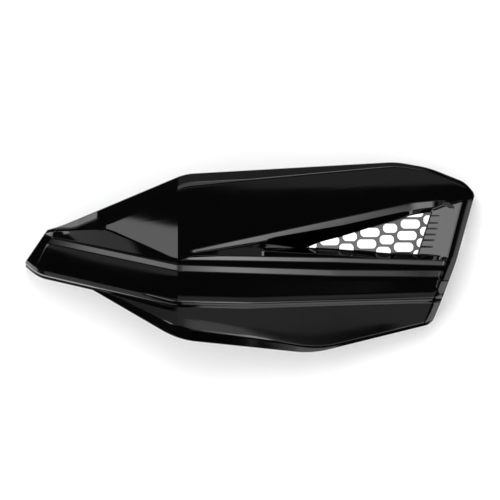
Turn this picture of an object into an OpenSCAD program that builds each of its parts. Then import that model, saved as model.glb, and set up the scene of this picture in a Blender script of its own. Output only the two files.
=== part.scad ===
// Motorcycle hand guard, right hand side of the bar: one moulded shield with a
// folded-back beak, a raised spine, a sunk honeycomb vent, a skirt and a rim
// turned back all round. Four threaded brass inserts sit in bosses behind it.
//
// X runs along the handlebar, Z is up, and the outer face looks towards -Y.
// Drawing frame: x = 0 on the vertical fold line between beak and body, z = 0 on
// the spine there, and depths count back from the spine's front at that fold.
// The finished part is moved so that its origin is the outer top fixing.

/* [Overall] */
// Length of the body, from the fold line to the top corner of the inner end
body_l = 189.4; // [165:0.1:215]
// Length of the beak, from the fold line to its tip
beak_l = 98; // [84:0.5:112]
// Height of the top edge above the spine at the fold line
top_h = 56.2; // [50:0.1:66]
// Rise of the top edge from the fold line to its highest corner
top_rise = 8.6; // [5:0.1:12]
// Drop of the skirt's lower edge below the spine at the fold line
skirt_h = 49.6; // [43:0.1:58]
// Further drop of that edge at the belly
belly_drop = 8.9; // [5:0.1:12]
// Distance of the belly from the fold line
belly_x = 86; // [70:1:104]
// Wall of the moulding
wall = 2.5; // [2:0.1:3]
// Depth of the rim turned back round the edge
rim_depth = 10; // [8:0.5:13]

/* [Beak] */
// Angle at which the beak folds back from the body
beak_angle = 29; // [23:0.5:35]
// Height of the beak's top edge where the rim band begins
beak_top = 22.6; // [20:0.1:26]
// Rise of the spine along the beak
beak_rise = 20.8; // [17:0.1:23]
// Extra turn of the triangular cheek beside the fold, millimetres a millimetre
cheek_turn = 0.14; // [0.1:0.01:0.18]
// Step from the beak's lower edge back to the skirt
beak_step = 8; // [6:0.5:10]

/* [Faces] */
// Slope of the upper face just above the spine, millimetres a millimetre
crown_start = 0.05; // [0.04:0.005:0.07]
// Radius of the upper face's crown
crown_r = 227; // [190:1:270]
// Radius of the body's sweep along the bar
sweep_r = 3300; // [2700:50:4000]
// Height of the rim band along the top edge
band_w = 5.5; // [4.5:0.1:6.6]
// Angle of the rim band back from upright
band_angle = 50; // [42:1:58]
// Height of the second bevel at the fold line, on the body
bevel_w = 2.7; // [2.2:0.1:3.2]
// Angle of the second bevel back from upright
bevel_angle = 32; // [26:1:38]
// Width of the spine's flat crest
crest_w = 4.8; // [4:0.1:5.7]
// Height of the lower strip under the crest
strip_w = 4; // [3.3:0.1:4.7]
// Depth of the lower strip
strip_drop = 2.9; // [2.4:0.1:3.4]
// Angle of the lower face, under the spine
lower_angle = 12; // [10:0.5:14]
// Height of the rolled edge above the skirt
roll_h = 7; // [5.8:0.1:8.2]
// Angle of the skirt
skirt_angle = 27; // [22:0.5:32]
// Height of the bevel along the skirt's lower edge
hem_w = 7; // [5.8:0.1:8]
// Width of the rolled band down the inner end
end_band = 5.8; // [4.8:0.1:7]
// Depth of that band
end_drop = 3.6; // [3:0.1:4.3]

/* [Vent] */
// Height of the chamfer along the top of the vent's recess
chamfer_w = 5.5; // [4.6:0.1:6.4]
// Angle of that chamfer back from upright
chamfer_angle = 35; // [29:1:41]
// Height of the flank from the recess up to the spine's crest
flank_w = 3; // [2.5:0.1:3.5]
// Angle of that flank back from upright
flank_angle = 42; // [35:1:49]
// Start of the deep pocket, from the fold line
pocket_x = 54; // [46:1:60]
// Point of the honeycomb, from the fold line
vent_x = 80; // [73:1:92]
// Depth of the honeycomb at its point
vent_depth = 26.5; // [23:0.5:30]
// Rise of the honeycomb towards the inner end, millimetres a millimetre
vent_turn = 0.085; // [0.07:0.005:0.1]
// Pitch of the honeycomb's columns
cell_pitch = 11.9; // [10:0.1:14]
// Pitch of the honeycomb's rows
cell_row = 7.7; // [6.5:0.1:9]
// Length of a long cell
cell_long = 12.4; // [11:0.1:13.5]
// Cut corner of a cell
cell_cut = 1.6; // [1.2:0.1:2]
// Rib between two cells of one column
rib_row = 1.6; // [1.3:0.1:2]
// Rib between two columns
rib_col = 1.1; // [0.9:0.1:1.5]

/* [Fixings] */
// Height of the outer top fixing above the spine's level at the fold line
fix_top_z = 31; // [26:0.5:34]
// Rise from the outer to the inner top fixing
fix_rise = 16; // [13:0.5:17]
// Drop of the two lower fixings below the same level
fix_low_z = 15.5; // [14:0.1:16.5]
// Distance of the outer fixings from the fold line
fix_x = 26; // [20:0.5:31]
// Distance between the outer and the inner fixings
fix_l = 108; // [96:0.5:112]
// Depth of the fixing plane behind the spine
fix_depth = 36; // [33:0.5:42]
// Outer diameter of a boss
boss_d = 13; // [12:0.1:14.5]
// Thickness of a boss's gussets
gusset_t = 2; // [1.6:0.1:2.4]
// Reach of a gusset from its boss
gusset_reach = 5; // [4:0.1:6]
// Outer diameter of a brass insert
insert_d = 8; // [7:0.1:9]
// Length of a brass insert
insert_l = 10; // [8:0.5:12]
// Hole of a brass insert, at the inner diameter of its thread
thread_d = 5; // [4.2:0.1:6]
// Free depth for the screw's end beyond the insert
screw_end = 4; // [3:0.5:6]

/* [Hidden] */

$fn = 48;
tiny = 0.15;               // narrowest strip between two rows of the skin
draft = 0.5;               // how far the rim spreads towards its open edge
tip_slant = 0.69;          // slant of the beak's end, along X for each mm up
beak_bend_x = -46;         // where the cheek, the beak's top and the bevel meet
rim_start_x = 22;          // from the tip to the start of the rim band
fold_r = 3;                // half width of the fold line's rounding
hollow = 3;                // length over which the recess opens at its point
ramp_at = 0.89;            // share of the body's length at which the ramp starts
vent_z = 9.6;              // height of the honeycomb's point
vent_tilt = 0.05;          // how much the honeycomb faces down
cell_x = 42.9;             // a long cell's centre, from the honeycomb's point
cell_z = 9.3;              // its height above that point
cell_lean = 16.4;          // lean of the cells' columns, along the inner end
cell_fall = 4.9;           // fall of the cells' rows towards the inner end
cell_gap = 0.4;            // margin between the cells and the pocket's walls
// Columns of cells counted from the one at cell_x, with their first and last rows
cell_columns = [[-3, 1, 1], [-2, 1, 1], [-1, 0, 1], [0, 0, 1], [1, -1, 1], [2, -2, 1], [3, -2, 1]];

function mix(a, b, t) = a + (b - a) * t;
function clamp(v) = min(max(v, 0), 1);
function unit(v) = v / norm(v);
function total(list) = list * [for (v = list) 1];

// Line through corner points [x, value], each corner rounded over w either side
function slope(p, i) = (p[i + 1][1] - p[i][1]) / (p[i + 1][0] - p[i][0]);
function through(p, x, w = 3) =
    let (i = len([for (k = [1 : len(p) - 2]) if (x >= p[k][0]) k]))
    p[i][1] + slope(p, i) * (x - p[i][0]) + total(concat([0], [
        for (k = [1 : len(p) - 2])
            (slope(p, k) - slope(p, k - 1)) * pow(max(0, w - abs(x - p[k][0])), 2) / (4 * w)
    ]));

// Heights of the long lines of the skin, at a distance x from the fold line
function top_z(x) = through([
    [-beak_l, beak_top - 5.8],
    [rim_start_x - beak_l, beak_top],
    [4.5, top_h],
    [body_l - 50, top_h + top_rise - 0.9],
    [body_l - 29, top_h + top_rise - 4.6],
    [body_l - 3, top_h + top_rise - 15],
    [body_l, top_h + top_rise - 20.5]
], x, 6);
function crest_low_z(x) = through([
    [-beak_l, beak_rise - 1.8], [0, -1.8], [100, -5], [body_l, -5.6]
], x);
function crest_z(x) = crest_low_z(x) + through([
    [-beak_l, crest_w / 5], [-12, crest_w / 5], [5, crest_w * 0.68],
    [100, crest_w], [body_l, crest_w * 0.55]
], x);
function brow_z(x) = max(crest_z(x) + 8 * tiny, min(top_z(x) - band_at(x) - 5 * tiny, through([
    [-beak_l, beak_top - 4.2],
    [beak_bend_x, beak_top - 1.4],
    [-3, 2.8], [2.5, 2.9], [8.5, 7.9],
    [body_l - 39, 38.3], [body_l - 18, 40.4], [body_l, 38.4]
], x, 2.4)));
function strip_z(x) = crest_low_z(x) - strip_w;
function edge_z(x) = through([
    [-beak_l, -1.5], [8 - beak_l, -8.3], [-2, -28.4], [46, -29.4], [body_l, -25.3]
], x, 5);
function hem_z(x) = min(edge_z(x) - 1.6, through([
    [-beak_l, -skirt_h + 0.578 * beak_l], [0, -skirt_h],
    [belly_x, -skirt_h - belly_drop], [body_l - 27, -skirt_h + 10]
], x, 11));

// Widths of the strips between those lines
function band_at(x) = band_w * through([
    [-beak_l, 0.14], [rim_start_x - beak_l, 0.2], [rim_start_x + 9 - beak_l, 0.86],
    [0, 1], [46, 1.02], [body_l - 40, 0.36], [body_l, 0.3]
], x);
function bevel_at(x) = min(top_z(x) - band_at(x) - brow_z(x) - 4 * tiny, bevel_w * through([
    [-50, 2.4], [-6, 1.8], [2, 1.05], [12, 1], [46, 0.4], [body_l, 0.3]
], x, 2));
function chamfer_at(x) = chamfer_w * through([
    [0, 0.03], [3, 0.05], [12, 0.5], [46, 0.96], [62, 0.72], [104, 1.03],
    [body_l - 39, 0.95], [body_l - 6, 0.2]
], x, 2);
function flank_at(x) = flank_w * through([[0, 0.05], [3, 0.1], [10, 1], [body_l, 1]], x, 2);
function ledge_at(x) = through([
    [0, tiny], [12, 0.4], [pocket_x - 4, 3.8], [104, 1.8], [136, 0.35], [body_l, 0.3]
], x);
function sill_at(x) = through([
    [0, tiny], [12, 0.3], [pocket_x, 1.7], [vent_x, 3.3], [body_l - 29, 3.2], [body_l - 9, 1.5]
], x);
function wall_at(x) = through([
    [0, tiny], [12, 0.3], [pocket_x, 1.8], [vent_x, 9.9], [vent_x + 11, 7.2],
    [129, 4.1], [body_l - 5, 0.5]
], x);
function hem_at(x) = min((edge_z(x) - hem_z(x)) * 0.5, hem_w * through([
    [-beak_l, 0.2], [-58, 0.2], [-10, 0.93], [0, 1], [50, 0.8], [78, 0.54],
    [100, 0.22], [body_l, 0.2]
], x));

// The five rows of the recess, k = 1 to 5: a plain facet on the beak, the
// chamfer, pocket and sill on the body
function recess_z(k, x) =
    let (a = brow_z(x), b = crest_z(x), foot = b + flank_at(x), sill = foot + ledge_at(x))
    let (low = sill + sill_at(x), high = a - chamfer_at(x))
    let (open = k == 1 ? high : k == 2 ? max(high - wall_at(x), low + 3 * tiny)
        : k == 3 ? low : k == 4 ? sill : foot)
    mix(mix(a, b, k / 6), open, clamp(x / hollow));

// Depths behind the spine's front, as negative numbers
function spine_f(x) = through([
    [-beak_l, -beak_l * tan(beak_angle)], [0, 0], [body_l, -0.03 * body_l]
], x, fold_r) - pow(max(x, 0), 2) / (2 * sweep_r);
function upper_f(x, z) =
    let (h = max(z - crest_low_z(x), 0))
    spine_f(x) - crown_start * h - h * h / (2 * crown_r)
        - through([[beak_bend_x - 40, -beak_bend_x * cheek_turn],
            [beak_bend_x, -beak_bend_x * cheek_turn], [0, 0], [40, 0]], x);
function vent_f(x, z) = -vent_depth + vent_turn * (x - vent_x) + vent_tilt * (z - vent_z);
function lower_f(x, z) =
    spine_f(x) - strip_drop - tan(lower_angle) * (strip_z(x) - 2.6 - z);
function recess_f(k, x, z, u) =
    let (a = brow_z(x), b = crest_z(x), fa = upper_f(x, a), fb = spine_f(x))
    let (ramp = pow(clamp((u - ramp_at) / (1 - ramp_at)), 1.25))
    let (end = pow(clamp((u - 0.95) / 0.05), 2), rim = upper_f(x, z))
    let (z1 = recess_z(1, x), z5 = recess_z(5, x))
    let (f1 = mix(fa - chamfer_at(x) * tan(chamfer_angle), rim, ramp))
    let (f5 = mix(fb - flank_at(x) * tan(flank_angle), rim, end))
    let (floor_f = mix(f1, f5, (z1 - z) / (z1 - z5)))
    let (deep = clamp((x - pocket_x) / (vent_x - pocket_x)))
    let (open = k == 1 ? f1 : k == 5 ? f5 : k == 4 ? mix(floor_f, f5 - tiny, clamp(x - pocket_x))
        : mix(mix(floor_f, vent_f(x, z), deep), rim, ramp))
    mix(mix(fa, fb, (a - z) / (a - b)), open, clamp(x / hollow));

// The rows of the skin from the top edge to the hem, each with its height at x
// and its depth at x, z and the share u of the body's length
roll_steps = [[1, lower_angle], [0.6, 25], [0.31, 45], [0.13, 65]];
function roll_z(i, x) = edge_z(x) + roll_h * roll_steps[i][0];
function roll_f(i, x) = i == 0 ? lower_f(x, roll_z(0, x))
    : roll_f(i - 1, x) - (roll_z(i - 1, x) - roll_z(i, x)) * tan(roll_steps[i][1]);
function step_f(x) = roll_f(3, x) - 0.4 - beak_step * clamp(-x / 56);
function skirt_f(x, z) = step_f(x) - (edge_z(x) - 0.3 - z) * tan(skirt_angle);
function end_mix(f, x, z, u) = mix(f, upper_f(x, z), pow(clamp((u - 0.95) / 0.05), 2));

rows = concat(
    [[function(x) top_z(x), function(x, z, u)
        upper_f(x, z - band_at(x) - bevel_at(x)) - bevel_at(x) * tan(bevel_angle)
            - band_at(x) * tan(band_angle)],
    [function(x) top_z(x) - band_at(x), function(x, z, u)
        upper_f(x, z - bevel_at(x)) - bevel_at(x) * tan(bevel_angle)]],
    [for (s = [0 : 4]) [
        function(x) mix(top_z(x) - band_at(x) - bevel_at(x), brow_z(x), s / 4),
        function(x, z, u) upper_f(x, z)]],
    [for (k = [1 : 5]) [
        function(x) recess_z(k, x),
        function(x, z, u) recess_f(k, x, z, u)]],
    [[function(x) crest_z(x), function(x, z, u) spine_f(x)],
    [function(x) crest_low_z(x), function(x, z, u) spine_f(x)],
    [function(x) strip_z(x), function(x, z, u) end_mix(spine_f(x) - strip_drop, x, z, u)],
    [function(x) strip_z(x) - 2.6, function(x, z, u)
        end_mix(spine_f(x) - strip_drop - tiny, x, z, u)]],
    [for (i = [0 : 3]) [function(x) roll_z(i, x), function(x, z, u) roll_f(i, x)]],
    [[function(x) edge_z(x) - 0.3, function(x, z, u) step_f(x)],
    [function(x) mix(edge_z(x) - 0.3, hem_z(x) + hem_at(x), 0.5),
        function(x, z, u) skirt_f(x, z) + 0.5],
    [function(x) hem_z(x) + hem_at(x), function(x, z, u) skirt_f(x, z)],
    [function(x) hem_z(x), function(x, z, u)
        skirt_f(x, z + hem_at(x)) - hem_at(x) * tan(50)]]
);
// Rows that the inner face doesn't follow: it runs straight past them, and past
// a face that is narrower than the wall allows
plain = [1, 10, 11, 12, 13, 14, 21, 22];
function wide(g, i, a, b, walls = 2.2) = norm(g[i][a] - g[i][b]) > walls * wall;
function follows(g, i, j) = len(search(j, plain)) == 0
    && (j < 1 || j > 14 || wide(g, i, 0, 12, 3.5))
    && (j < 2 || j > 5 || wide(g, i, 2, 6))
    && (j < 7 || j > 9 || wide(g, i, 6, 11))
    && (j != 7 || wide(g, i, 6, 8))
    && (j != 8 || wide(g, i, 6, 8, 1.2))
    && (j < 20 || j > 22 || wide(g, i, 20, 23));

// Ends of the rows: the slanted end of the beak and the raked inner end
function tip_x(z) = -beak_l + tip_slant * max(z, 0);
function inner_x(z) = body_l + through([
    [-38, -26.4], [-33, -24.1], [0, -11.7], [44, 0.6]
], z, 5);
function left_end(j, x, tries = 7) = tries == 0 ? x
    : left_end(j, mix(x, tip_x(rows[j][0](x)), 0.6), tries - 1);
function right_end(j, x, tries = 7) = tries == 0 ? x
    : right_end(j, mix(x, inner_x(rows[j][0](x)), 0.7), tries - 1);
left_ends = [for (j = [0 : len(rows) - 1]) left_end(j, 8 - beak_l)];
right_ends = [for (j = [0 : len(rows) - 1]) right_end(j, body_l - 14)];

// Stations along the guard: -1 is the tip, 0 the fold, 1 the start of the end
// band and 2 the inner end
stations = concat(
    [-1, -0.985, -0.965, -0.94],
    [for (i = [14 : -1 : 1]) -i * 0.9 / 14], [-0.025],
    [0, 0.008, 0.016, 0.028, 0.045, 0.065],
    [for (s = [0.1 : 0.05 : 0.25]) s], [for (s = [0.28 : 0.02 : 0.46]) s],
    [for (s = [0.5 : 0.06 : 0.86]) s], [0.875, ramp_at],
    [0.91, 0.93, 0.95, 0.975, 1, 1.35, 1.7, 2]
);
function point(u, j) =
    let (end = u < 0 ? left_ends[j] : right_ends[j])
    let (x = u < 0 ? -u * end : min(u, 1) * (end - end_band) + max(u - 1, 0) * end_band)
    let (z = rows[j][0](x))
    let (lip = u < -0.94 ? 2.5 * (-u - 0.94) / 0.06 : end_drop * pow(max(u - 1, 0), 1.6))
    [x, lip - rows[j][1](x, z, min(max(u, 0), 1)), z];

// Inner face: the skin without its small steps, moved in by the wall
function eased(g, i, j) = follows(g, i, j) ? g[i][j]
    : let (a = max([for (k = [0 : j]) if (follows(g, i, k)) k]))
      let (b = min([for (k = [j : len(rows) - 1]) if (follows(g, i, k)) k]))
      mix(g[i][a], g[i][b], (j - a) / (b - a));
function facing(g, i0, i1, j0, j1) = unit(cross(g[i1][j1] - g[i0][j0], g[i1][j0] - g[i0][j1]));
function side_out(a, b) = unit([b[2] - a[2], 0, a[0] - b[0]]);
function corner_out(a, p, b) =
    let (m = side_out(a, p), n = side_out(p, b))
    -(m + n) / (1 + m * n);
// Move that clears two faces by one wall, and three where an edge wall w joins them
function clear_two(a, b) = (a + b) / (1 + a * b);
function clear_three(a, b, w) =
    let (d = a * cross(b, w))
    abs(d) > 0.1 ? (cross(b, w) + cross(w, a) + cross(a, b)) / d : clear_two(unit(a + b), w);

// The moulded skin: outer face, inner face and the rim between them
module skin() {
    outer = [for (u = stations) [for (j = [0 : len(rows) - 1]) point(u, j)]];
    n = len(stations);
    m = len(rows);
    smooth = [for (i = [0 : n - 1]) [for (j = [0 : m - 1]) eased(outer, i, j)]];
    // The edge loop as [station, row], clockwise seen from the front
    loop = concat(
        [for (i = [0 : n - 2]) [i, 0]], [for (j = [0 : m - 2]) [n - 1, j]],
        [for (i = [n - 1 : -1 : 1]) [i, m - 1]], [for (j = [m - 1 : -1 : 1]) [0, j]]
    );
    l = len(loop);
    edge = [for (p = loop) outer[p[0]][p[1]]];
    out = [for (k = [0 : l - 1]) corner_out(edge[(k + l - 1) % l], edge[k], edge[(k + 1) % l])];
    rear = [for (k = [0 : l - 1]) edge[k] + draft * out[k] + [0, rim_depth, 0]];
    rear_in = [for (k = [0 : l - 1]) rear[k] - wall * out[k]];
    function loop_at(i, j) = j == 0 ? i : i == n - 1 ? n - 1 + j
        : j == m - 1 ? 2 * n + m - 3 - i : l - j;
    inner = [for (i = [0 : n - 1]) [for (j = [0 : m - 1])
        let (i0 = max(i - 1, 0), i1 = min(i + 1, n - 1))
        let (j0 = max(j - 1, 0), j1 = min(j + 1, m - 1))
        let (w = out[loop_at(i, j)], face = facing(smooth, i0, i1, j0, j1))
        let (on_end = i == 0 || i == n - 1, on_edge = j == 0 || j == m - 1)
        smooth[i][j] - wall * (
            on_end && on_edge ? w + [0, (1 - w * face) / face[1], 0]
            : on_end ? clear_three(facing(smooth, i0, i1, j0, j), facing(smooth, i0, i1, j, j1), w)
            : on_edge ? clear_three(facing(smooth, i0, i, j0, j1), facing(smooth, i, i1, j0, j1), w)
            : clear_two(facing(smooth, i0, i1, j0, j), facing(smooth, i0, i1, j, j1)))
    ]];
    grid = n * m;
    points = concat(
        [for (i = [0 : n - 1]) each outer[i]], [for (i = [0 : n - 1]) each inner[i]], rear, rear_in
    );
    function at(p) = p[0] * m + p[1];
    quads = concat(
        [for (i = [0 : n - 2]) for (j = [0 : m - 2])
            [i * m + j, i * m + j + 1, i * m + m + j + 1, i * m + m + j]],
        [for (i = [0 : n - 2]) for (j = [0 : m - 2])
            [grid + i * m + j, grid + i * m + m + j, grid + i * m + m + j + 1, grid + i * m + j + 1]],
        [for (k = [0 : l - 1]) let (q = (k + 1) % l)
            [at(loop[k]), at(loop[q]), 2 * grid + q, 2 * grid + k]],
        [for (k = [0 : l - 1]) let (q = (k + 1) % l)
            [2 * grid + k, 2 * grid + q, 2 * grid + l + q, 2 * grid + l + k]],
        [for (k = [0 : l - 1]) let (q = (k + 1) % l)
            [2 * grid + l + k, 2 * grid + l + q, grid + at(loop[q]), grid + at(loop[k])]]
    );
    polyhedron(points, [for (q = quads) each [[q[0], q[2], q[1]], [q[0], q[3], q[2]]]]);
}

// Cells of the honeycomb, drawn in the plane of the vent about its point
cell_h = cell_row * cos(cell_lean) - rib_row;
cell_short = 2 * (cell_pitch - rib_col) - cell_long;
function cell_at(column, row) =
    [cell_x, cell_z] + column * cell_pitch * [cos(cell_fall), -sin(cell_fall)]
        - (row + (column % 2 == 0 ? 0 : 0.5)) * cell_row * [sin(cell_lean), cos(cell_lean)];
module cell(length) {
    a = length / 2;
    b = cell_h / 2;
    c = cell_cut;
    polygon([
        [c - a, -b], [a - c, -b], [a, c - b], [a, b - c],
        [a - c, b], [c - a, b], [-a, b - c], [-a, c - b]
    ]);
}
// The part of the vent's plane that the cells may open
module vent_window() {
    steps = 8;
    first = vent_x + 4;
    last = ramp_at * (right_ends[8] - end_band) - cell_gap;
    lean = (right_ends[8] - right_ends[9]) * ramp_at;
    xs = [for (s = [0 : steps]) mix(first, last, s / steps)];
    polygon(concat(
        [for (x = xs) [x, recess_z(2, x) - cell_gap] - [vent_x, vent_z]],
        [for (s = [steps : -1 : 0]) let (x = xs[s] - lean * s / steps)
            [x, recess_z(3, x) + cell_gap] - [vent_x, vent_z]]
    ));
}
module vent_cells() {
    translate([vent_x, vent_depth, vent_z])
    rotate([atan(vent_tilt), 0, -atan(vent_turn)])
    rotate([90, 0, 0])
    translate([0, 0, -3 * wall])
    intersection() {
        linear_extrude(5 * wall)
        vent_window();
        linear_extrude(5 * wall)
        for (column = cell_columns)
            for (row = [column[1] : column[2]])
                translate(cell_at(column[0], row))
                cell(column[0] % 2 == 0 ? cell_long : cell_short);
    }
}

// Fixings: x, z, slopes of the wall in front along x and z, the wall's depth and
// the directions in which gussets run
function top_fixing(x, z) = [
    x, z, upper_f(x, z) - upper_f(x + 1, z), upper_f(x, z) - upper_f(x, z + 1),
    -upper_f(x, z), [0, 90, 180, 270]
];
function low_fixing(x, z) = [
    x, z, lower_f(x, z) - lower_f(x + 1, z), lower_f(x, z) - lower_f(x, z + 1),
    -lower_f(x, z), [0, 90, 180]
];
fixings = [
    top_fixing(fix_x, fix_top_z),
    low_fixing(fix_x, -fix_low_z),
    top_fixing(fix_x + fix_l, fix_top_z + fix_rise),
    low_fixing(fix_x + fix_l, -fix_low_z)
];
// Stands its children at a fixing, their base on the fixing plane, towards the wall
module at_fixing(fixing) {
    translate([fixing[0], fix_depth, fixing[1]])
    rotate([90, 0, 0])
    children();
}
module gusset(height) {
    translate([0, gusset_t / 2, 0])
    rotate([90, 0, 0])
    linear_extrude(gusset_t)
    polygon([
        [0, height / 3], [boss_d / 2, height / 3],
        [boss_d / 2 + gusset_reach, height], [0, height]
    ]);
}
module boss(fixing) {
    height = fix_depth - fixing[4];
    intersection() {
        at_fixing(fixing)
        union() {
            cylinder(d = boss_d, h = height + boss_d);
            for (turn = fixing[5])
                rotate([0, 0, turn])
                gusset(height);
        }
        translate([fixing[0], fixing[4] + wall / 2, fixing[1]])
        rotate([-atan(fixing[3]), 0, atan(fixing[2])])
        translate([-2 * boss_d, 0, -2 * boss_d])
        cube([4 * boss_d, 2 * fix_depth, 4 * boss_d]);
    }
}
module boss_bore(fixing) {
    at_fixing(fixing) {
        translate([0, 0, -1])
        cylinder(d = insert_d, h = insert_l + 1);
        cylinder(d = thread_d + 1, h = insert_l + screw_end);
    }
}

// Moves the drawing so that the outer top fixing is the origin
module place() {
    translate([-fix_x, -fix_depth, -fix_top_z])
    children();
}

module shield() {
    color([0.03, 0.03, 0.035])
    place()
    difference() {
        union() {
            difference() {
                skin();
                vent_cells();
            }
            for (fixing = fixings)
                boss(fixing);
        }
        for (fixing = fixings)
            boss_bore(fixing);
    }
}

module insert(fixing) {
    color([0.78, 0.62, 0.32])
    place()
    at_fixing(fixing)
    difference() {
        cylinder(d = insert_d, h = insert_l);
        translate([0, 0, -1])
        cylinder(d = thread_d, h = insert_l + 2);
    }
}
module insert_outer_top() { insert(fixings[0]); }
module insert_outer_low() { insert(fixings[1]); }
module insert_inner_top() { insert(fixings[2]); }
module insert_inner_low() { insert(fixings[3]); }

shield();
insert_outer_top();
insert_outer_low();
insert_inner_top();
insert_inner_low();
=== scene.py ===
"""Hand guard for a motorcycle's grip: the moulded shield and its brass inserts, in a white studio.

The shield's surface is worked out from the same lines and sizes as the solid: lengths in millimetres
in the drawing frame, where x = 0 is the fold line, z = 0 the spine and depths count back from its front.
"""

import logging
import math
from dataclasses import dataclass, field
from enum import Enum
from typing import Callable, Sequence

import bpy
import numpy as np
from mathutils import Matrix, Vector


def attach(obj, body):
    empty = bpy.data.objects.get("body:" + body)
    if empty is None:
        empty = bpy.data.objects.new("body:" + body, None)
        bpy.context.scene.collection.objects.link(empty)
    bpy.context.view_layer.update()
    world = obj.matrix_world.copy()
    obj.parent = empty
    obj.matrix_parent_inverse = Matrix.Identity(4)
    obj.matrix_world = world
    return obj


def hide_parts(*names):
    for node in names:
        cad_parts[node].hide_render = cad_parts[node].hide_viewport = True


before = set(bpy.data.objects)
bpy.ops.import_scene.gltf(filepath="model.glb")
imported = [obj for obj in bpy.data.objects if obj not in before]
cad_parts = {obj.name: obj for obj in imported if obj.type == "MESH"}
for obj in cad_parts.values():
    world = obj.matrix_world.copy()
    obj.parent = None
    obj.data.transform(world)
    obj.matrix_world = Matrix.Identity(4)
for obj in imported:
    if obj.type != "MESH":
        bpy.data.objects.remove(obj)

Array = np.ndarray
Corners = Sequence[tuple[float, float]]
Nodes = bpy.types.Nodes
Links = bpy.types.NodeLinks
Socket = bpy.types.NodeSocket
Row = tuple[Callable[[Array], Array], Callable[[Array, Array, Array], Array]]

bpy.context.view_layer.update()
ORIGIN = np.array([26.0, 36.0, 31.0])  # the outer top fixing, in the drawing frame
METRES = 0.001
TINY = 0.15
NEAR = 0.005
log = logging.getLogger("hand_guard")


class Face(Enum):
    """Finishes of the moulding: the polished outer side and the plain inner side."""

    OUTER = 0
    INNER = 1


# Numbers and curves


def through(corners: Corners, x: Array, w: float = 3.0) -> Array:
    """Broken line through corners, each corner rounded over w either side.

    Left of all corners it is the first straight; each inner corner adds its change of slope times
    max(0, x - corner) + max(0, w - |x - corner|)^2 / (4 w).

    Args:
        corners: the corners as (x, value).
        x: where the line is wanted.
        w: half the length of a corner's rounding.

    Returns:
        The line's values at x.
    """
    px, pv = np.array(corners, float).T
    slopes = np.diff(pv) / np.diff(px)
    value = pv[0] + slopes[0] * (x - px[0])
    for corner, turn in zip(px[1:-1], np.diff(slopes)):
        bend = np.maximum(w - np.abs(x - corner), 0) ** 2 / (4 * w)
        value = value + turn * (np.maximum(x - corner, 0) + bend)
    return value


def mix(a: Array, b: Array, t: Array) -> Array:
    """Straight mix of a and b by the share t."""
    return a + (b - a) * t


def ramp(x: Array, start: float, end: float, soft: float = 0.0) -> Array:
    """Share from 0 at start to 1 at end, with its two corners rounded over soft if it is given."""
    if soft:
        low, high = (start - 2 * soft, 0.0), (end + 2 * soft, 1.0)
        return through([low, (start, 0.0), (end, 1.0), high], x, soft)
    return np.clip((x - start) / (end - start), 0, 1)


def rounded(lines: Array, cuts: Array, steps: int = 4) -> Array:
    """Rounds each inner corner P of lines[:, j] by (1-t)^2 A + 2 t (1-t) P + t^2 B.

    Args:
        lines: corner points, an array of line, corner, coordinate.
        cuts: for each inner corner the distance from P to A before it and to B after it.
        steps: steps along each curve.

    Returns:
        The rounded lines, each with steps + 1 points for every inner corner.
    """
    run = np.diff(lines, axis=1)
    length = np.maximum(np.linalg.norm(run, axis=2), 1e-6)
    before = np.minimum(cuts / length[:, :-1], 0.49)[..., None]
    after = np.minimum(cuts / length[:, 1:], 0.49)[..., None]
    middle = lines[:, 1:-1]
    a = (middle - run[:, :-1] * before)[:, :, None]
    b = (middle + run[:, 1:] * after)[:, :, None]
    t = np.linspace(0, 1, steps + 1)[None, None, :, None]
    curve = (1 - t) ** 2 * a + 2 * t * (1 - t) * middle[:, :, None] + t * t * b
    curve = curve.reshape(len(lines), -1, 3)
    return np.concatenate([lines[:, :1], curve, lines[:, -1:]], axis=1)


def unit(vectors: Array) -> Array:
    """Vectors scaled to length one."""
    return vectors / np.maximum(np.linalg.norm(vectors, axis=-1, keepdims=True), 1e-9)


def dot(a: Array, b: Array) -> Array:
    """Dot product of each pair of vectors, kept as a column."""
    return np.sum(a * b, axis=-1, keepdims=True)


def clear_two(a: Array, b: Array) -> Array:
    """Move that clears two faces with unit normals a and b by one wall."""
    return (a + b) / np.maximum(1 + dot(a, b), 0.35)


def clear_three(a: Array, b: Array, w: Array) -> Array:
    """Move that clears the faces a and b and the edge wall w by one wall each."""
    d = dot(a, np.cross(b, w))
    exact = (np.cross(b, w) + np.cross(w, a) + np.cross(a, b)) / np.where(np.abs(d) > 0.1, d, 1)
    return np.where(np.abs(d) > 0.1, exact, clear_two(unit(a + b), w))


def grid_quads(rows: int, columns: int, start: int = 0, closed: bool = False) -> Array:
    """Quads of a grid of points stored row by row, its columns joined round if closed."""
    i, j = np.meshgrid(np.arange(rows - 1), np.arange(columns if closed else columns - 1), indexing="ij")
    k = (j + 1) % columns
    quads = np.stack([i * columns + j, i * columns + k, (i + 1) * columns + k, (i + 1) * columns + j], -1)
    return quads.reshape(-1, 4) + start


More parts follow.
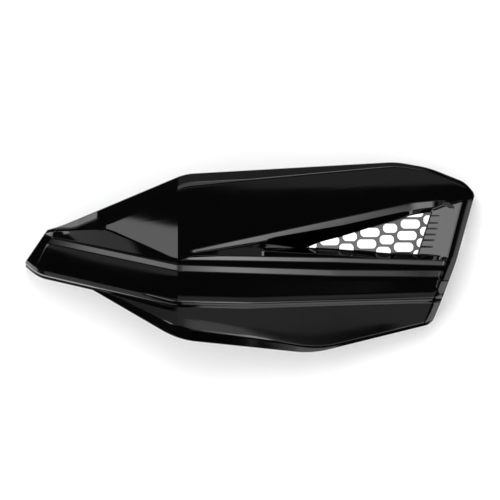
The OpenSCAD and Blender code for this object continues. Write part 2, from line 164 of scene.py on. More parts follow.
def build_mesh(name: str, points: Array, faces: Sequence[Array], sides: Sequence[int]) -> bpy.types.Mesh:
    """Mesh from points in the drawing frame and blocks of faces.

    Args:
        name: the mesh's name.
        points: points in millimetres in the drawing frame.
        faces: blocks of faces, each an array of face by corner.
        sides: material index of each block.

    Returns:
        The mesh, in metres in the part's frame.
    """
    mesh = bpy.data.meshes.new(name)
    place = (points - ORIGIN) * METRES
    sizes = np.concatenate([np.full(len(block), block.shape[1]) for block in faces])
    corners = np.concatenate([block.ravel() for block in faces])
    mesh.vertices.add(len(place))
    mesh.vertices.foreach_set("co", place.astype(np.float32).ravel())
    mesh.loops.add(len(corners))
    mesh.loops.foreach_set("vertex_index", corners.astype(np.int32))
    mesh.polygons.add(len(sizes))
    mesh.polygons.foreach_set("loop_start", np.concatenate([[0], np.cumsum(sizes)[:-1]]).astype(np.int32))
    slots = np.concatenate([np.full(len(block), side) for block, side in zip(faces, sides)])
    mesh.polygons.foreach_set("material_index", slots.astype(np.int32))
    mesh.update(calc_edges=True)
    mesh.validate()
    return mesh


def new_material(name: str) -> tuple[bpy.types.Material, Nodes, Links]:
    """New node material, with its nodes and links."""
    material = bpy.data.materials.new(name)
    material.use_nodes = True
    return material, material.node_tree.nodes, material.node_tree.links


def add_object(mesh: bpy.types.Mesh, materials: Sequence[bpy.types.Material] = ()) -> bpy.types.Object:
    """Puts a mesh into the scene at the origin, with its materials."""
    for material in materials:
        mesh.materials.append(material)
    piece = bpy.data.objects.new(mesh.name, mesh)
    bpy.context.scene.collection.objects.link(piece)
    return piece


def add_quad(name: str, corners: Sequence[Vector], material: bpy.types.Material) -> bpy.types.Object:
    """Puts one face with four corners into the scene, its UVs running from 0 to 1."""
    mesh = bpy.data.meshes.new(name)
    mesh.from_pydata(corners, [], [(0, 1, 2, 3)])
    mesh.uv_layers.new().data.foreach_set("uv", [0.0, 0, 1, 0, 1, 1, 0, 1])
    return add_object(mesh, [material])


def settle(piece: bpy.types.Object) -> None:
    """Turns a piece's modifiers into plain mesh."""
    depsgraph = bpy.context.evaluated_depsgraph_get()
    finished = bpy.data.meshes.new_from_object(piece.evaluated_get(depsgraph), depsgraph=depsgraph)
    piece.modifiers.clear()
    piece.data = finished


def smooth_by_weight(piece: bpy.types.Object, angle: float, fold_x: float | None = None) -> None:
    """Shades a piece smooth below an angle, its large faces keeping their own normals.

    Args:
        piece: the piece.
        angle: the angle in degrees above which an edge stays sharp.
        fold_x: place along the guard, in the drawing frame, of a fold whose edges stay sharp too.
    """
    mesh = piece.data
    mesh.polygons.foreach_set("use_smooth", np.ones(len(mesh.polygons), bool))
    mesh.set_sharp_from_angle(angle=math.radians(angle))
    if fold_x is not None:
        place, ends = np.zeros(3 * len(mesh.vertices)), np.zeros(2 * len(mesh.edges), int)
        sharp = np.zeros(len(mesh.edges), bool)
        mesh.vertices.foreach_get("co", place)
        mesh.edges.foreach_get("vertices", ends)
        mesh.edges.foreach_get("use_edge_sharp", sharp)
        on_fold = np.abs(place[::3] / METRES + ORIGIN[0] - fold_x) < NEAR
        mesh.edges.foreach_set("use_edge_sharp", sharp | (on_fold[ends[::2]] & on_fold[ends[1::2]]))
    weighted = piece.modifiers.new("weighted", "WEIGHTED_NORMAL")
    weighted.keep_sharp = True
    settle(piece)


# Finishes


def noise(nodes: Nodes, links: Links, place: Socket, scale: float, detail: float = 2.0) -> Socket:
    """Noise at a place, from 0 to 1."""
    texture = nodes.new("ShaderNodeTexNoise")
    texture.inputs["Scale"].default_value = scale
    texture.inputs["Detail"].default_value = detail
    links.new(place, texture.inputs["Vector"])
    return texture.outputs["Fac"]


def tone(nodes: Nodes, links: Links, share: Socket, colour: tuple[float, float, float], times: float) -> Socket:
    """Colour that goes with a share from the given one to so many times it."""
    blend = nodes.new("ShaderNodeMix")
    blend.data_type = "RGBA"
    blend.inputs["A"].default_value = (*colour, 1)
    blend.inputs["B"].default_value = (*(value * times for value in colour), 1)
    links.new(share, blend.inputs["Factor"])
    return blend.outputs["Result"]


def bump(nodes: Nodes, links: Links, height: Socket, distance: float, under: Socket | None = None) -> Socket:
    """Normal bent by a height, over another normal if one is given."""
    bend = nodes.new("ShaderNodeBump")
    bend.inputs["Distance"].default_value = distance
    links.new(height, bend.inputs["Height"])
    if under is not None:
        links.new(under, bend.inputs["Normal"])
    return bend.outputs["Normal"]


def combine(nodes: Nodes, links: Links, operation: str, first: Socket, second: Socket) -> Socket:
    """Two values joined by an operation."""
    node = nodes.new("ShaderNodeMath")
    node.operation = operation
    links.new(first, node.inputs[0])
    links.new(second, node.inputs[1])
    return node.outputs[0]


@dataclass(frozen=True)
class MouldedPlastic:
    """Plastic moulded in colour: a dark body under a clear gloss, with the mould's faint waviness."""

    name: str
    colour: tuple[float, float, float]
    roughness: float
    spread: float
    wave_height: float
    wave_scale: float
    grain_height: float = 0.0
    grain_scale: float = 2200.0
    drift_scale: float = 38.0

    def material(self) -> bpy.types.Material:
        """Builds the node material.

        Returns:
            A material whose roughness drifts by spread and whose bump is a slow wave plus a fine grain.
        """
        material, nodes, links = new_material(self.name)
        shader = nodes["Principled BSDF"]
        shader.inputs["IOR"].default_value = 1.5
        place = nodes.new("ShaderNodeTexCoord").outputs["Object"]
        drift = noise(nodes, links, place, self.drift_scale, detail=5)
        gloss = nodes.new("ShaderNodeMapRange")
        gloss.inputs["From Min"].default_value = 0.3
        gloss.inputs["From Max"].default_value = 0.7
        gloss.inputs["To Min"].default_value = self.roughness - self.spread
        gloss.inputs["To Max"].default_value = self.roughness + self.spread
        links.new(drift, gloss.inputs["Value"])
        links.new(gloss.outputs["Result"], shader.inputs["Roughness"])
        links.new(tone(nodes, links, drift, self.colour, times=1.5), shader.inputs["Base Color"])
        normal = bump(nodes, links, noise(nodes, links, place, self.wave_scale, detail=1), self.wave_height)
        if self.grain_height:
            normal = bump(nodes, links, noise(nodes, links, place, self.grain_scale), self.grain_height, normal)
        links.new(normal, shader.inputs["Normal"])
        return material


@dataclass(frozen=True)
class TurnedBrass:
    """Plain turned brass with a fine uneven grain."""

    name: str = "turned_brass"
    colour: tuple[float, float, float] = (0.72, 0.53, 0.24)
    roughness: float = 0.27
    spread: float = 0.08
    ring_scale: float = 900.0
    ring_height: float = 0.00001

    def material(self) -> bpy.types.Material:
        """Builds the node material: metal whose colour and roughness follow a fine noise."""
        material, nodes, links = new_material(self.name)
        shader = nodes["Principled BSDF"]
        shader.inputs["Metallic"].default_value = 1.0
        place = nodes.new("ShaderNodeTexCoord").outputs["Object"]
        rings = noise(nodes, links, place, self.ring_scale)
        links.new(tone(nodes, links, rings, self.colour, times=0.72), shader.inputs["Base Color"])
        rough = nodes.new("ShaderNodeMapRange")
        rough.inputs["To Min"].default_value = self.roughness - self.spread
        rough.inputs["To Max"].default_value = self.roughness + self.spread
        links.new(rings, rough.inputs["Value"])
        links.new(rough.outputs["Result"], shader.inputs["Roughness"])
        links.new(bump(nodes, links, rings, self.ring_height), shader.inputs["Normal"])
        return material


# The moulded skin


@dataclass
class Skin:
    """The shield's folded skin: 24 lines run along it, and each line has a height and a depth."""

    body_l: float = 189.4
    beak_l: float = 98.0
    top_h: float = 56.2
    top_rise: float = 8.6
    skirt_h: float = 49.6
    belly_drop: float = 8.9
    belly_x: float = 86.0
    wall: float = 2.5
    rim_depth: float = 10.0
    beak_angle: float = 29.0
    beak_top: float = 22.6
    beak_rise: float = 20.8
    cheek_turn: float = 0.14
    beak_step: float = 8.0
    step_run: float = 56.0
    step_depth: float = 0.4
    crown_start: float = 0.05
    crown_r: float = 227.0
    sweep_r: float = 3300.0
    body_slope: float = 0.03
    band_w: float = 5.5
    band_angle: float = 50.0
    bevel_w: float = 2.7
    bevel_angle: float = 32.0
    crest_w: float = 4.8
    strip_w: float = 4.0
    strip_drop: float = 2.9
    foot_w: float = 2.6
    lower_angle: float = 12.0
    roll_h: float = 7.0
    step_h: float = 0.3
    skirt_angle: float = 27.0
    facet_proud: float = 0.5
    hem_w: float = 7.0
    hem_angle: float = 50.0
    end_band: float = 5.8
    end_drop: float = 3.6
    chamfer_w: float = 5.5
    chamfer_angle: float = 35.0
    flank_w: float = 3.0
    flank_angle: float = 42.0
    pocket_x: float = 54.0
    vent_x: float = 80.0
    vent_z: float = 9.6
    vent_depth: float = 26.5
    vent_turn: float = 0.085
    vent_tilt: float = 0.05
    draft: float = 0.5
    tip_slant: float = 0.69
    beak_bend_x: float = -46.0
    rim_start_x: float = 22.0
    fold_r: float = 0.01
    hollow: float = 3.0
    ramp_at: float = 0.89
    ramp_bend: float = 1.06
    strips_end: float = 0.988
    end_bend: float = 1.2
    skirt_fold_r: float = 16.0
    top_corner_r: float = 1.8
    low_corner_r: float = 4.0
    edge_cut: float = 0.6
    lip_cut: float = 0.5
    roll: tuple[tuple[float, float], ...] = ((1, 12.0), (0.5, 21.0), (0.24, 45.0), (0.04, 63.0))
    beak_roll: tuple[float, ...] = (12.0, 14.0, 60.0, 60.0)
    rows: list[Row] = field(default_factory=list)

    def __post_init__(self) -> None:
        """Lists the rows from the top edge to the hem."""
        self.rows = [(self.top_z, self.top_f), (self.rim_z, self.rim_f)]
        self.rows += [(self.upper_row(s / 4), self.upper_at) for s in range(5)]
        self.rows += [self.recess_row(k) for k in range(1, 6)]
        self.rows += [
            (self.crest_z, lambda x, z, u: self.spine_f(x)),
            (self.crest_low_z, lambda x, z, u: self.spine_f(x)),
            (self.strip_z, lambda x, z, u: self.end_mix(self.spine_f(x) - self.strip_drop, x, z, u)),
            (
                lambda x: self.strip_z(x) - self.foot_w,
                lambda x, z, u: self.end_mix(self.spine_f(x) - self.strip_drop - TINY, x, z, u),
            ),
        ]
        self.rows += [self.roll_row(i) for i in range(4)]
        self.rows += [
            (lambda x: self.edge_z(x) - self.step_h, lambda x, z, u: self.step_f(x)),
            (
                lambda x: mix(self.edge_z(x) - self.step_h, self.hem_z(x) + self.hem_at(x), self.facet_at(x)),
                lambda x, z, u: self.skirt_f(x, z) + self.facet_proud,
            ),
            (lambda x: self.hem_z(x) + self.hem_at(x), lambda x, z, u: self.skirt_f(x, z)),
            (
                self.hem_z,
                lambda x, z, u: self.skirt_f(x, z + self.hem_at(x)) - self.hem_at(x) * self.tan(self.hem_angle),
            ),
        ]

    @staticmethod
    def tan(degrees: float) -> float:
        """Tangent of an angle in degrees."""
        return math.tan(math.radians(degrees))

    # Heights of the long lines

    def top_z(self, x: Array) -> Array:
        """Height of the top edge."""
        end, peak = self.body_l, self.top_h + self.top_rise
        corners = [
            (-self.beak_l, self.beak_top - 5.8), (self.rim_start_x - self.beak_l, self.beak_top),
            (4.5, self.top_h), (end - 50, peak - 0.9), (end - 29, peak - 4.6), (end - 3, peak - 15),
            (end, peak - 20.5),
        ]
        return through(corners, x, 6)

    def crest_low_z(self, x: Array) -> Array:
        """Height of the crest's lower line."""
        return through([(-self.beak_l, self.beak_rise - 1.8), (0, -1.8), (100, -5), (self.body_l, -5.6)], x)

    def crest_z(self, x: Array) -> Array:
        """Height of the crest's upper line."""
        w = self.crest_w
        width = [(-self.beak_l, w / 5), (-12, w / 5), (5, w * 0.68), (100, w), (self.body_l, w * 0.55)]
        return self.crest_low_z(x) + through(width, x)

    def brow_z(self, x: Array) -> Array:
        """Height of the line under the upper face, kept between the crest and the rim band."""
        end = self.body_l
        corners = [
            (-self.beak_l, self.beak_top - 4.2), (self.beak_bend_x, self.beak_top - 1.4), (-3, 2.8),
            (2.5, 2.9), (8.5, 7.9), (end - 39, 38.3), (end - 18, 40.2), (end - 6, 40.4),
            (end, 38.4),
        ]
        high = self.top_z(x) - self.band_at(x) - 5 * TINY
        return np.maximum(self.crest_z(x) + 8 * TINY, np.minimum(high, through(corners, x, 2.4)))

    def strip_z(self, x: Array) -> Array:
        """Height of the lower strip's foot."""
        return self.crest_low_z(x) - self.strip_w

    def edge_z(self, x: Array) -> Array:
        """Height of the rolled edge above the skirt."""
        corners = [(-self.beak_l, -1.5), (8 - self.beak_l, -8.3), (-2, -28.4), (46, -29.4), (self.body_l, -25.3)]
        return through(corners, x, 5)

    def hem_z(self, x: Array) -> Array:
        """Height of the skirt's lower edge."""
        corners = [
            (-self.beak_l, -self.skirt_h + 0.578 * self.beak_l), (0, -self.skirt_h),
            (self.belly_x, -self.skirt_h - self.belly_drop), (self.body_l - 27, -self.skirt_h + 10),
        ]
        return np.minimum(self.edge_z(x) - 1.6, through(corners, x, 11))

    # Widths of the strips between them

    def band_at(self, x: Array) -> Array:
        """Height of the rim band."""
        start = self.rim_start_x - self.beak_l
        corners = [
            (-self.beak_l, 0.14), (start, 0.2), (start + 9, 0.86), (0, 1), (46, 1.02),
            (self.body_l - 40, 0.36), (self.body_l, 0.3),
        ]
        return self.band_w * through(corners, x)

    def bevel_at(self, x: Array) -> Array:
        """Height of the second bevel."""
        share = through([(-50, 2.4), (-6, 1.8), (2, 1.05), (12, 1), (46, 0.4), (self.body_l, 0.3)], x, 2)
        return np.minimum(self.top_z(x) - self.band_at(x) - self.brow_z(x) - 4 * TINY, self.bevel_w * share)

    def chamfer_at(self, x: Array) -> Array:
        """Height of the chamfer along the top of the recess."""
        end = self.body_l
        corners = [
            (0, 0.03), (3, 0.05), (12, 0.5), (46, 0.96), (62, 0.72), (104, 1.03), (end - 26, 0.9),
            (end - 5.4, 0.03), (end, 0.02),
        ]
        return self.chamfer_w * through(corners, x, 2)

    def flank_at(self, x: Array) -> Array:
        """Height of the flank from the recess up to the crest."""
        return self.flank_w * through([(0, 0.05), (3, 0.1), (10, 1), (self.body_l, 1)], x, 2)

    def ledge_at(self, x: Array) -> Array:
        """Width of the ledge beside the flank."""
        corners = [(0, TINY), (12, 0.4), (self.pocket_x - 4, 3.8), (104, 1.8), (136, 0.35), (self.body_l, 0.3)]
        return through(corners, x)

    def sill_at(self, x: Array) -> Array:
        """Width of the pocket's lower wall."""
        end = self.body_l
        corners = [(0, TINY), (12, 0.3), (self.pocket_x, 1.7), (self.vent_x, 3.3), (end - 29, 3.2), (end - 9, 1.5)]
        return through(corners, x)

    def wall_at(self, x: Array) -> Array:
        """Width of the pocket's upper wall."""
        corners = [
            (0, TINY), (12, 0.3), (self.pocket_x, 1.8), (self.vent_x, 9.9), (self.vent_x + 11, 7.2),
            (129, 4.1), (self.body_l - 5, 0.5),
        ]
        return through(corners, x)

    def hem_at(self, x: Array) -> Array:
        """Height of the bevel along the hem."""
        corners = [
            (-self.beak_l, 0.2), (-58, 0.2), (-10, 0.93), (0, 1), (50, 0.8), (78, 0.54), (100, 0.22),
            (self.body_l, 0.2),
        ]
        return np.minimum((self.edge_z(x) - self.hem_z(x)) * 0.5, self.hem_w * through(corners, x))

    @staticmethod
    def facet_at(x: Array) -> Array:
        """Share of the skirt's height above its lower facet, which runs out at the belly."""
        return through([(-40, 0.4), (0, 0.4), (66, 0.93), (90, 0.93)], x, 6)

    def recess_z(self, k: int, x: Array) -> Array:
        """Height of the recess's row k, spread evenly on the beak and opening past the fold."""
        a, b = self.brow_z(x), self.crest_z(x)
        foot = b + self.flank_at(x)
        sill = foot + self.ledge_at(x)
        low, high = sill + self.sill_at(x), a - self.chamfer_at(x)
        opened = (high, np.maximum(high - self.wall_at(x), low + 3 * TINY), low, sill, foot)[k - 1]
        return mix(mix(a, b, k / 6), opened, ramp(x, 0, self.hollow))

    # Depths behind the spine's front, as negative numbers

    def fold_f(self, x: Array, w: float) -> Array:
        """Depth of the beak's slope and the body's slight one, their fold rounded over w."""
        beak, body = self.beak_l * self.tan(self.beak_angle), self.body_l * self.body_slope
        return through([(-self.beak_l, -beak), (0, 0), (self.body_l, -body)], x, w)

    def spine_f(self, x: Array) -> Array:
        """Depth of the spine: the fold and a slow sweep x^2 / (2 r)."""
        return self.fold_f(x, self.fold_r) - np.maximum(x, 0) ** 2 / (2 * self.sweep_r)

    def upper_f(self, x: Array, z: Array) -> Array:
        """Depth of the upper face: spine less a crowned fall h slope + h^2 / (2 r), and the cheek's turn."""
        h = np.maximum(z - self.crest_low_z(x), 0)
        turn = -self.beak_bend_x * self.cheek_turn
        cheek = through([(self.beak_bend_x - 40, turn), (self.beak_bend_x, turn), (0, 0), (40, 0)], x, 2 * self.fold_r)
        return self.spine_f(x) - self.crown_start * h - h * h / (2 * self.crown_r) - cheek

    def upper_at(self, x: Array, z: Array, u: Array) -> Array:
        """Depth of the upper face, as a row's depth."""
        return self.upper_f(x, z)

    def vent_f(self, x: Array, z: Array) -> Array:
        """Depth of the honeycomb's plane."""
        return -self.vent_depth + self.vent_turn * (x - self.vent_x) + self.vent_tilt * (z - self.vent_z)

    def lower_f(self, x: Array, z: Array) -> Array:
        """Depth of the face under the spine."""
        return self.spine_f(x) - self.strip_drop - self.tan(self.lower_angle) * (self.strip_z(x) - self.foot_w - z)

    def top_f(self, x: Array, z: Array, u: Array) -> Array:
        """Depth of the top edge, behind the rim band."""
        return self.rim_f(x, z - self.band_at(x), u) - self.band_at(x) * self.tan(self.band_angle)

    def rim_z(self, x: Array) -> Array:
        """Height of the rim band's lower line."""
        return self.top_z(x) - self.band_at(x)

    def rim_f(self, x: Array, z: Array, u: Array) -> Array:
        """Depth of the rim band's lower line, behind the second bevel."""
        bevel = self.bevel_at(x)
        return self.upper_f(x, z - bevel) - bevel * self.tan(self.bevel_angle)

    def upper_row(self, share: float) -> Callable[[Array], Array]:
        """Height of a row of the upper face, a share of the way from the bevel to the brow."""
        return lambda x: mix(self.rim_z(x) - self.bevel_at(x), self.brow_z(x), share)

    def recess_f(self, k: int, x: Array, z: Array, u: Array) -> Array:
        """Depth of the recess's row k: chamfer, pocket and flank, closing into the ramp at the end."""
        a, b = self.brow_z(x), self.crest_z(x)
        fa, fb, rim = self.upper_f(x, a), self.spine_f(x), self.upper_f(x, z)
        rise = ramp(u, self.ramp_at, 1) ** self.ramp_bend
        end = ramp(u, self.strips_end, 1) ** 2
        z1, z5 = self.recess_z(1, x), self.recess_z(5, x)
        f1 = mix(fa - self.chamfer_at(x) * self.tan(self.chamfer_angle), rim, rise)
        f5 = mix(fb - self.flank_at(x) * self.tan(self.flank_angle), rim, end)
        floor = mix(f1, f5, (z1 - z) / (z1 - z5))
        deep = ramp(x, self.pocket_x, self.vent_x, 1.5)
        middle = mix(mix(floor, self.vent_f(x, z), deep), rim, rise)
        ledge = mix(floor, f5 - TINY, ramp(x, self.pocket_x, self.pocket_x + 1))
        opened = {1: f1, 4: ledge, 5: f5}.get(k, middle)
        return mix(mix(fa, fb, (a - z) / (a - b)), opened, ramp(x, 0, self.hollow))

    def recess_row(self, k: int) -> Row:
        """Height and depth of the recess's row k."""
        return (lambda x: self.recess_z(k, x), lambda x, z, u: self.recess_f(k, x, z, u))

    def roll_z(self, i: int, x: Array) -> Array:
        """Height of the rolled edge's row i."""
        return self.edge_z(x) + self.roll_h * self.roll[i][0]

    def roll_f(self, i: int, x: Array) -> Array:
        """Depth of the rolled edge's row i, each row falling back by its own angle."""
        if i == 0:
            return self.lower_f(x, self.roll_z(0, x))
        slope = mix(self.tan(self.roll[i][1]), self.tan(self.beak_roll[i]), self.on_beak(x))
        return self.roll_f(i - 1, x) - (self.roll_z(i - 1, x) - self.roll_z(i, x)) * slope

    @staticmethod
    def on_beak(x: Array) -> Array:
        """Share from 0 at the fold to 1 on the beak."""
        return ramp(-x, 0, 24)

    def roll_row(self, i: int) -> Row:
        """Height and depth of the rolled edge's row i."""
        return (lambda x: self.roll_z(i, x), lambda x, z, u: self.roll_f(i, x))

    def step_f(self, x: Array) -> Array:
        """Depth of the skirt's top, behind the rolled edge and the beak's step, its fold rounded wider."""
        wider = self.fold_f(x, self.skirt_fold_r) - self.fold_f(x, self.fold_r)
        return self.roll_f(3, x) - self.step_depth - self.beak_step * ramp(-x, 0, self.step_run) + wider

    def skirt_f(self, x: Array, z: Array) -> Array:
        """Depth of the skirt."""
        return self.step_f(x) - (self.edge_z(x) - self.step_h - z) * self.tan(self.skirt_angle)

    def end_mix(self, f: Array, x: Array, z: Array, u: Array) -> Array:
        """Depth f, running out into the upper face at the inner end."""
        return mix(f, self.upper_f(x, z), ramp(u, self.strips_end, 1) ** 2)

    # The grid

    def row_ends(self) -> tuple[Array, Array]:
        """Where each row starts at the beak's slanted end and stops at the raked inner end."""
        left = np.full(len(self.rows), 8 - self.beak_l)
        right = np.full(len(self.rows), self.body_l - 14)
        rake = [(-38, -26.4), (-33, -24.1), (0, -11.7), (44, 0.6)]
        for _ in range(7):
            low = np.array([float(height(x)) for (height, _), x in zip(self.rows, left)])
            left = mix(left, -self.beak_l + self.tip_slant * np.maximum(low, 0), 0.6)
            high = np.array([float(height(x)) for (height, _), x in zip(self.rows, right)])
            right = mix(right, self.body_l + through(rake, high, 5), 0.7)
        return left, right

    def stations(self) -> Array:
        """Stations along the guard: -1 the tip, 0 the fold, 1 the end band and 2 the inner end."""
        spans = [
            (-1, -0.9, 10), (-0.9, -0.04, 74), (-0.04, 0, 13), (0, 0.065, 22), (0.065, 0.46, 76), (0.46, 0.88, 56),
            (0.88, 1, 34), (1, 2, 11),
        ]
        return np.concatenate([[-1.0], *[np.linspace(start, end, count)[1:] for start, end, count in spans]])

    def corner_lines(self) -> Array:
        """The rows' points at each station, an array of station, row, coordinate."""
        u = self.stations()
        left, right = self.row_ends()
        columns = []
        for row, ((height, depth), x0, x1) in enumerate(zip(self.rows, left, right)):
            body = np.minimum(u, 1) * (x1 - self.end_band) + np.maximum(u - 1, 0) * self.end_band
            x = np.where(u < 0, -u * x0, body)
            z = height(x)
            drop = self.end_drop * (0.5 if row < 6 else 1.0)
            lip = 2.5 * ramp(-u, 0.94, 1) + drop * np.maximum(u - 1, 0) ** self.end_bend
            columns.append(np.stack([x, lip - depth(x, z, np.clip(u, 0, 1)), z], -1))
        grid = np.stack(columns, 1)
        self.round_corner(grid, grid[-1, 0].copy(), self.top_corner_r, -1.0)
        self.round_corner(grid, grid[-1, -1].copy(), self.low_corner_r, 1.0)
        return grid

    @staticmethod
    def round_corner(grid: Array, corner: Array, r: float, up: float) -> None:
        """Draws the points near a corner of the inner end in: by r (1 - d / r)^2 / 4 at a distance d.

        Args:
            grid: the rows' points, changed in place.
            corner: the sharp corner.
            r: reach of the rounding.
            up: -1 for the top corner and 1 for the lower one.
        """
        away = grid - corner
        distance = np.hypot(away[..., 0], away[..., 2])
        pull = r * np.maximum(1 - distance / r, 0) ** 2 / 4
        grid[..., 0] -= pull * 0.75
        grid[..., 2] += pull * up * 0.65


@dataclass
class Shield:
    """The moulded shield: outer face, inner face, rim, honeycomb, bosses and gussets."""

    skin: Skin
    gloss: MouldedPlastic
    satin: MouldedPlastic
    cuts: tuple[float, ...] = (
        1.0, 0.8, 9.0, 9.0, 9.0, 0.9, 0.9, 0.8, 0.8, 0.5, 0.6, 0.6, 0.6, 0.6, 0.6, 9.0, 9.0, 9.0, 9.0, 0.3, 9.0, 1.6,
    )
    cell_pitch: float = 11.9
    cell_row: float = 7.7
    cell_long: float = 12.4
    cell_cut: float = 1.6
    rib_row: float = 1.6
    rib_col: float = 1.1
    cell_x: float = 42.9
    cell_z: float = 9.3
    cell_lean: float = 16.4
    cell_fall: float = 4.9
    cell_gap: float = 0.4
    cell_edge: float = 0.3
    cell_columns: tuple[tuple[int, int, int], ...] = (
        (-3, 1, 1), (-2, 1, 1), (-1, 0, 1), (0, 0, 1), (1, -1, 1), (2, -2, 1), (3, -2, 1),
    )
    rib_end_heights: tuple[float, ...] = (29.6, 25.0, 21.4, 17.6, 14.0, 9.8)
    rib_end_top: float = 30.0
    rib_end_back: float = 1.6
    rib_end_l: float = 7.4
    rib_end_lean: float = 0.28
    rib_end_r: float = 0.55
    rib_end_proud: float = 0.75
    rib_end_sunk: float = 0.3
    boss_r: float = 6.5
    bore_r: float = 4.0
    bore_l: float = 10.0
    screw_r: float = 3.0
    screw_end: float = 4.0
    gusset_t: float = 2.0
    gusset_reach: float = 5.0
    fix_depth: float = 36.0
    fix_x: float = 26.0
    fix_l: float = 108.0
    fix_top_z: float = 31.0
    fix_rise: float = 16.0
    fix_low_z: float = -15.5

    def eased(self, g: Array) -> Array:
        """The rows without their small steps, for the inner face.

        A row between two kept ones lies on the straight between them, by its number, and a kept row
        goes from that straight to its own place as its face grows past the wall.

        Args:
            g: points of the outer rows, station by row.

        Returns:
            Points of the eased rows.
        """
        wall = self.skin.wall
        eased = g.copy()

        def wide(a: int, b: int, walls: float = 2.2) -> Array:
            """Share from 0 to 1 as the distance between two rows passes so many walls."""
            share = ramp(np.linalg.norm(g[:, a] - g[:, b], axis=1) / wall, walls * 0.8, walls * 1.2)
            return (share * share * (3 - 2 * share))[:, None]

        def straight(j: int, a: int, b: int) -> Array:
            """Point of row j on the straight between rows a and b."""
            return mix(eased[:, a], eased[:, b], (j - a) / (b - a))

        open_face, recess = wide(0, 12, 3.5), wide(6, 11)
        eased[:, 6] = mix(straight(6, 0, 15), g[:, 6], open_face)
        for j in range(2, 6):
            eased[:, j] = mix(straight(j, 0, 6), g[:, j], open_face * wide(2, 6))
        eased[:, 1] = straight(1, 0, 2)
        pocket = {7: wide(6, 8), 8: wide(6, 8, 1.2), 9: 1.0}
        for j in (7, 8, 9):
            eased[:, j] = mix(straight(j, 6, 15), g[:, j], open_face * recess * pocket[j])
        for j in range(10, 15):
            eased[:, j] = straight(j, 9, 15)
        eased[:, 20] = mix(straight(20, 19, 23), g[:, 20], wide(20, 23))
        for j in (21, 22):
            eased[:, j] = straight(j, 20, 23)
        return eased

    @staticmethod
    def loop_of(grid: Array) -> Array:
        """The border of a grid as one loop, clockwise seen from the front."""
        return np.concatenate([grid[:-1, 0], grid[-1, :-1], grid[:0:-1, -1], grid[0, :0:-1]])

    @staticmethod
    def outward(loop: Array) -> Array:
        """Outward move at each point of a loop that clears both its sides, seen from the front."""
        side = np.roll(loop, -1, 0) - loop
        normal = unit(np.stack([side[:, 2], 0 * side[:, 0], -side[:, 0]], -1))
        before = np.roll(normal, 1, 0)
        return -(before + normal) / np.maximum(1 + dot(before, normal), 0.35)

    def inner_lines(self, g: Array) -> Array:
        """The inner face's rows: the eased rows moved in by the wall, clear of every face they meet.

        Args:
            g: points of the outer rows.

        Returns:
            Points of the inner rows.
        """
        s = self.eased(g)
        n, m = s.shape[:2]
        i0, i1 = np.maximum(np.arange(n) - 1, 0), np.minimum(np.arange(n) + 1, n - 1)
        j0, j1 = np.maximum(np.arange(m) - 1, 0), np.minimum(np.arange(m) + 1, m - 1)
        here = np.arange(m)

        def facing(ja: Array, jb: Array, ia: Array = i0, ib: Array = i1) -> Array:
            """Normal of the face between rows ja and jb and stations ia and ib."""
            a = s[ib][:, jb] - s[ia][:, ja]
            b = s[ib][:, ja] - s[ia][:, jb]
            return unit(np.cross(a, b))

        move = clear_two(facing(j0, here), facing(here, j1))
        out = self.outward(self.loop_of(g))
        place = self.loop_index(n, m)
        stations = np.arange(n)
        for i in (0, n - 1):
            w = out[place[i]]
            move[i] = clear_three(facing(j0, here)[i], facing(here, j1)[i], w)
        for j in (0, m - 1):
            w = out[place[:, j]]
            move[:, j] = clear_three(
                facing(j0, j1, i0, stations)[:, j], facing(j0, j1, stations, i1)[:, j], w
            )
        whole = facing(j0, j1)
        for i in (0, n - 1):
            for j in (0, m - 1):
                w, face = out[place[i, j]], whole[i, j]
                move[i, j] = w + np.array([0, (1 - w @ face) / face[1], 0])
        return s - self.skin.wall * move

    @staticmethod
    def loop_index(n: int, m: int) -> Array:
        """For each point on the border of an n by m grid, its place on the loop."""
        place = np.zeros((n, m), int)
        size = 2 * (n + m) - 4
        place[:, m - 1] = 2 * n + m - 3 - np.arange(n)
        place[0, :] = (size - np.arange(m)) % size
        place[n - 1, :] = n - 1 + np.arange(m)
        place[:-1, 0] = np.arange(n - 1)
        return place

    def rim_rings(self, face: Array, edge: Array, inside: Array) -> list[Array]:
        """Rings of the rim, from the outer face round the edge, back, round the lip and in.

        Args:
            face: the outer face's border, drawn in from the edge.
            edge: the sharp edge that the border was drawn in from.
            inside: the inner face's border.

        Returns:
            The rings between the two borders.
        """
        skin = self.skin
        out = self.outward(edge)
        rear = edge + skin.draft * out + np.array([0, skin.rim_depth, 0])
        rear_in = rear - skin.wall * out
        back, across, forward = unit(rear - edge), unit(rear_in - rear), unit(inside - rear_in)
        ring: list[Array] = []

        def corner(a: Array, p: Array, b: Array, first: int) -> None:
            """Adds the rings of (1-t)^2 a + 2 t (1-t) p + t^2 b, from step first of four."""
            for t in np.arange(first, 5) / 4:
                ring.append((1 - t) ** 2 * a + 2 * t * (1 - t) * p + t * t * b)

        corner(face, edge, edge + skin.edge_cut * back, 1)
        corner(rear - skin.lip_cut * back, rear, rear + skin.lip_cut * across, 0)
        corner(rear_in - skin.lip_cut * across, rear_in, rear_in + skin.lip_cut * forward, 0)
        return ring

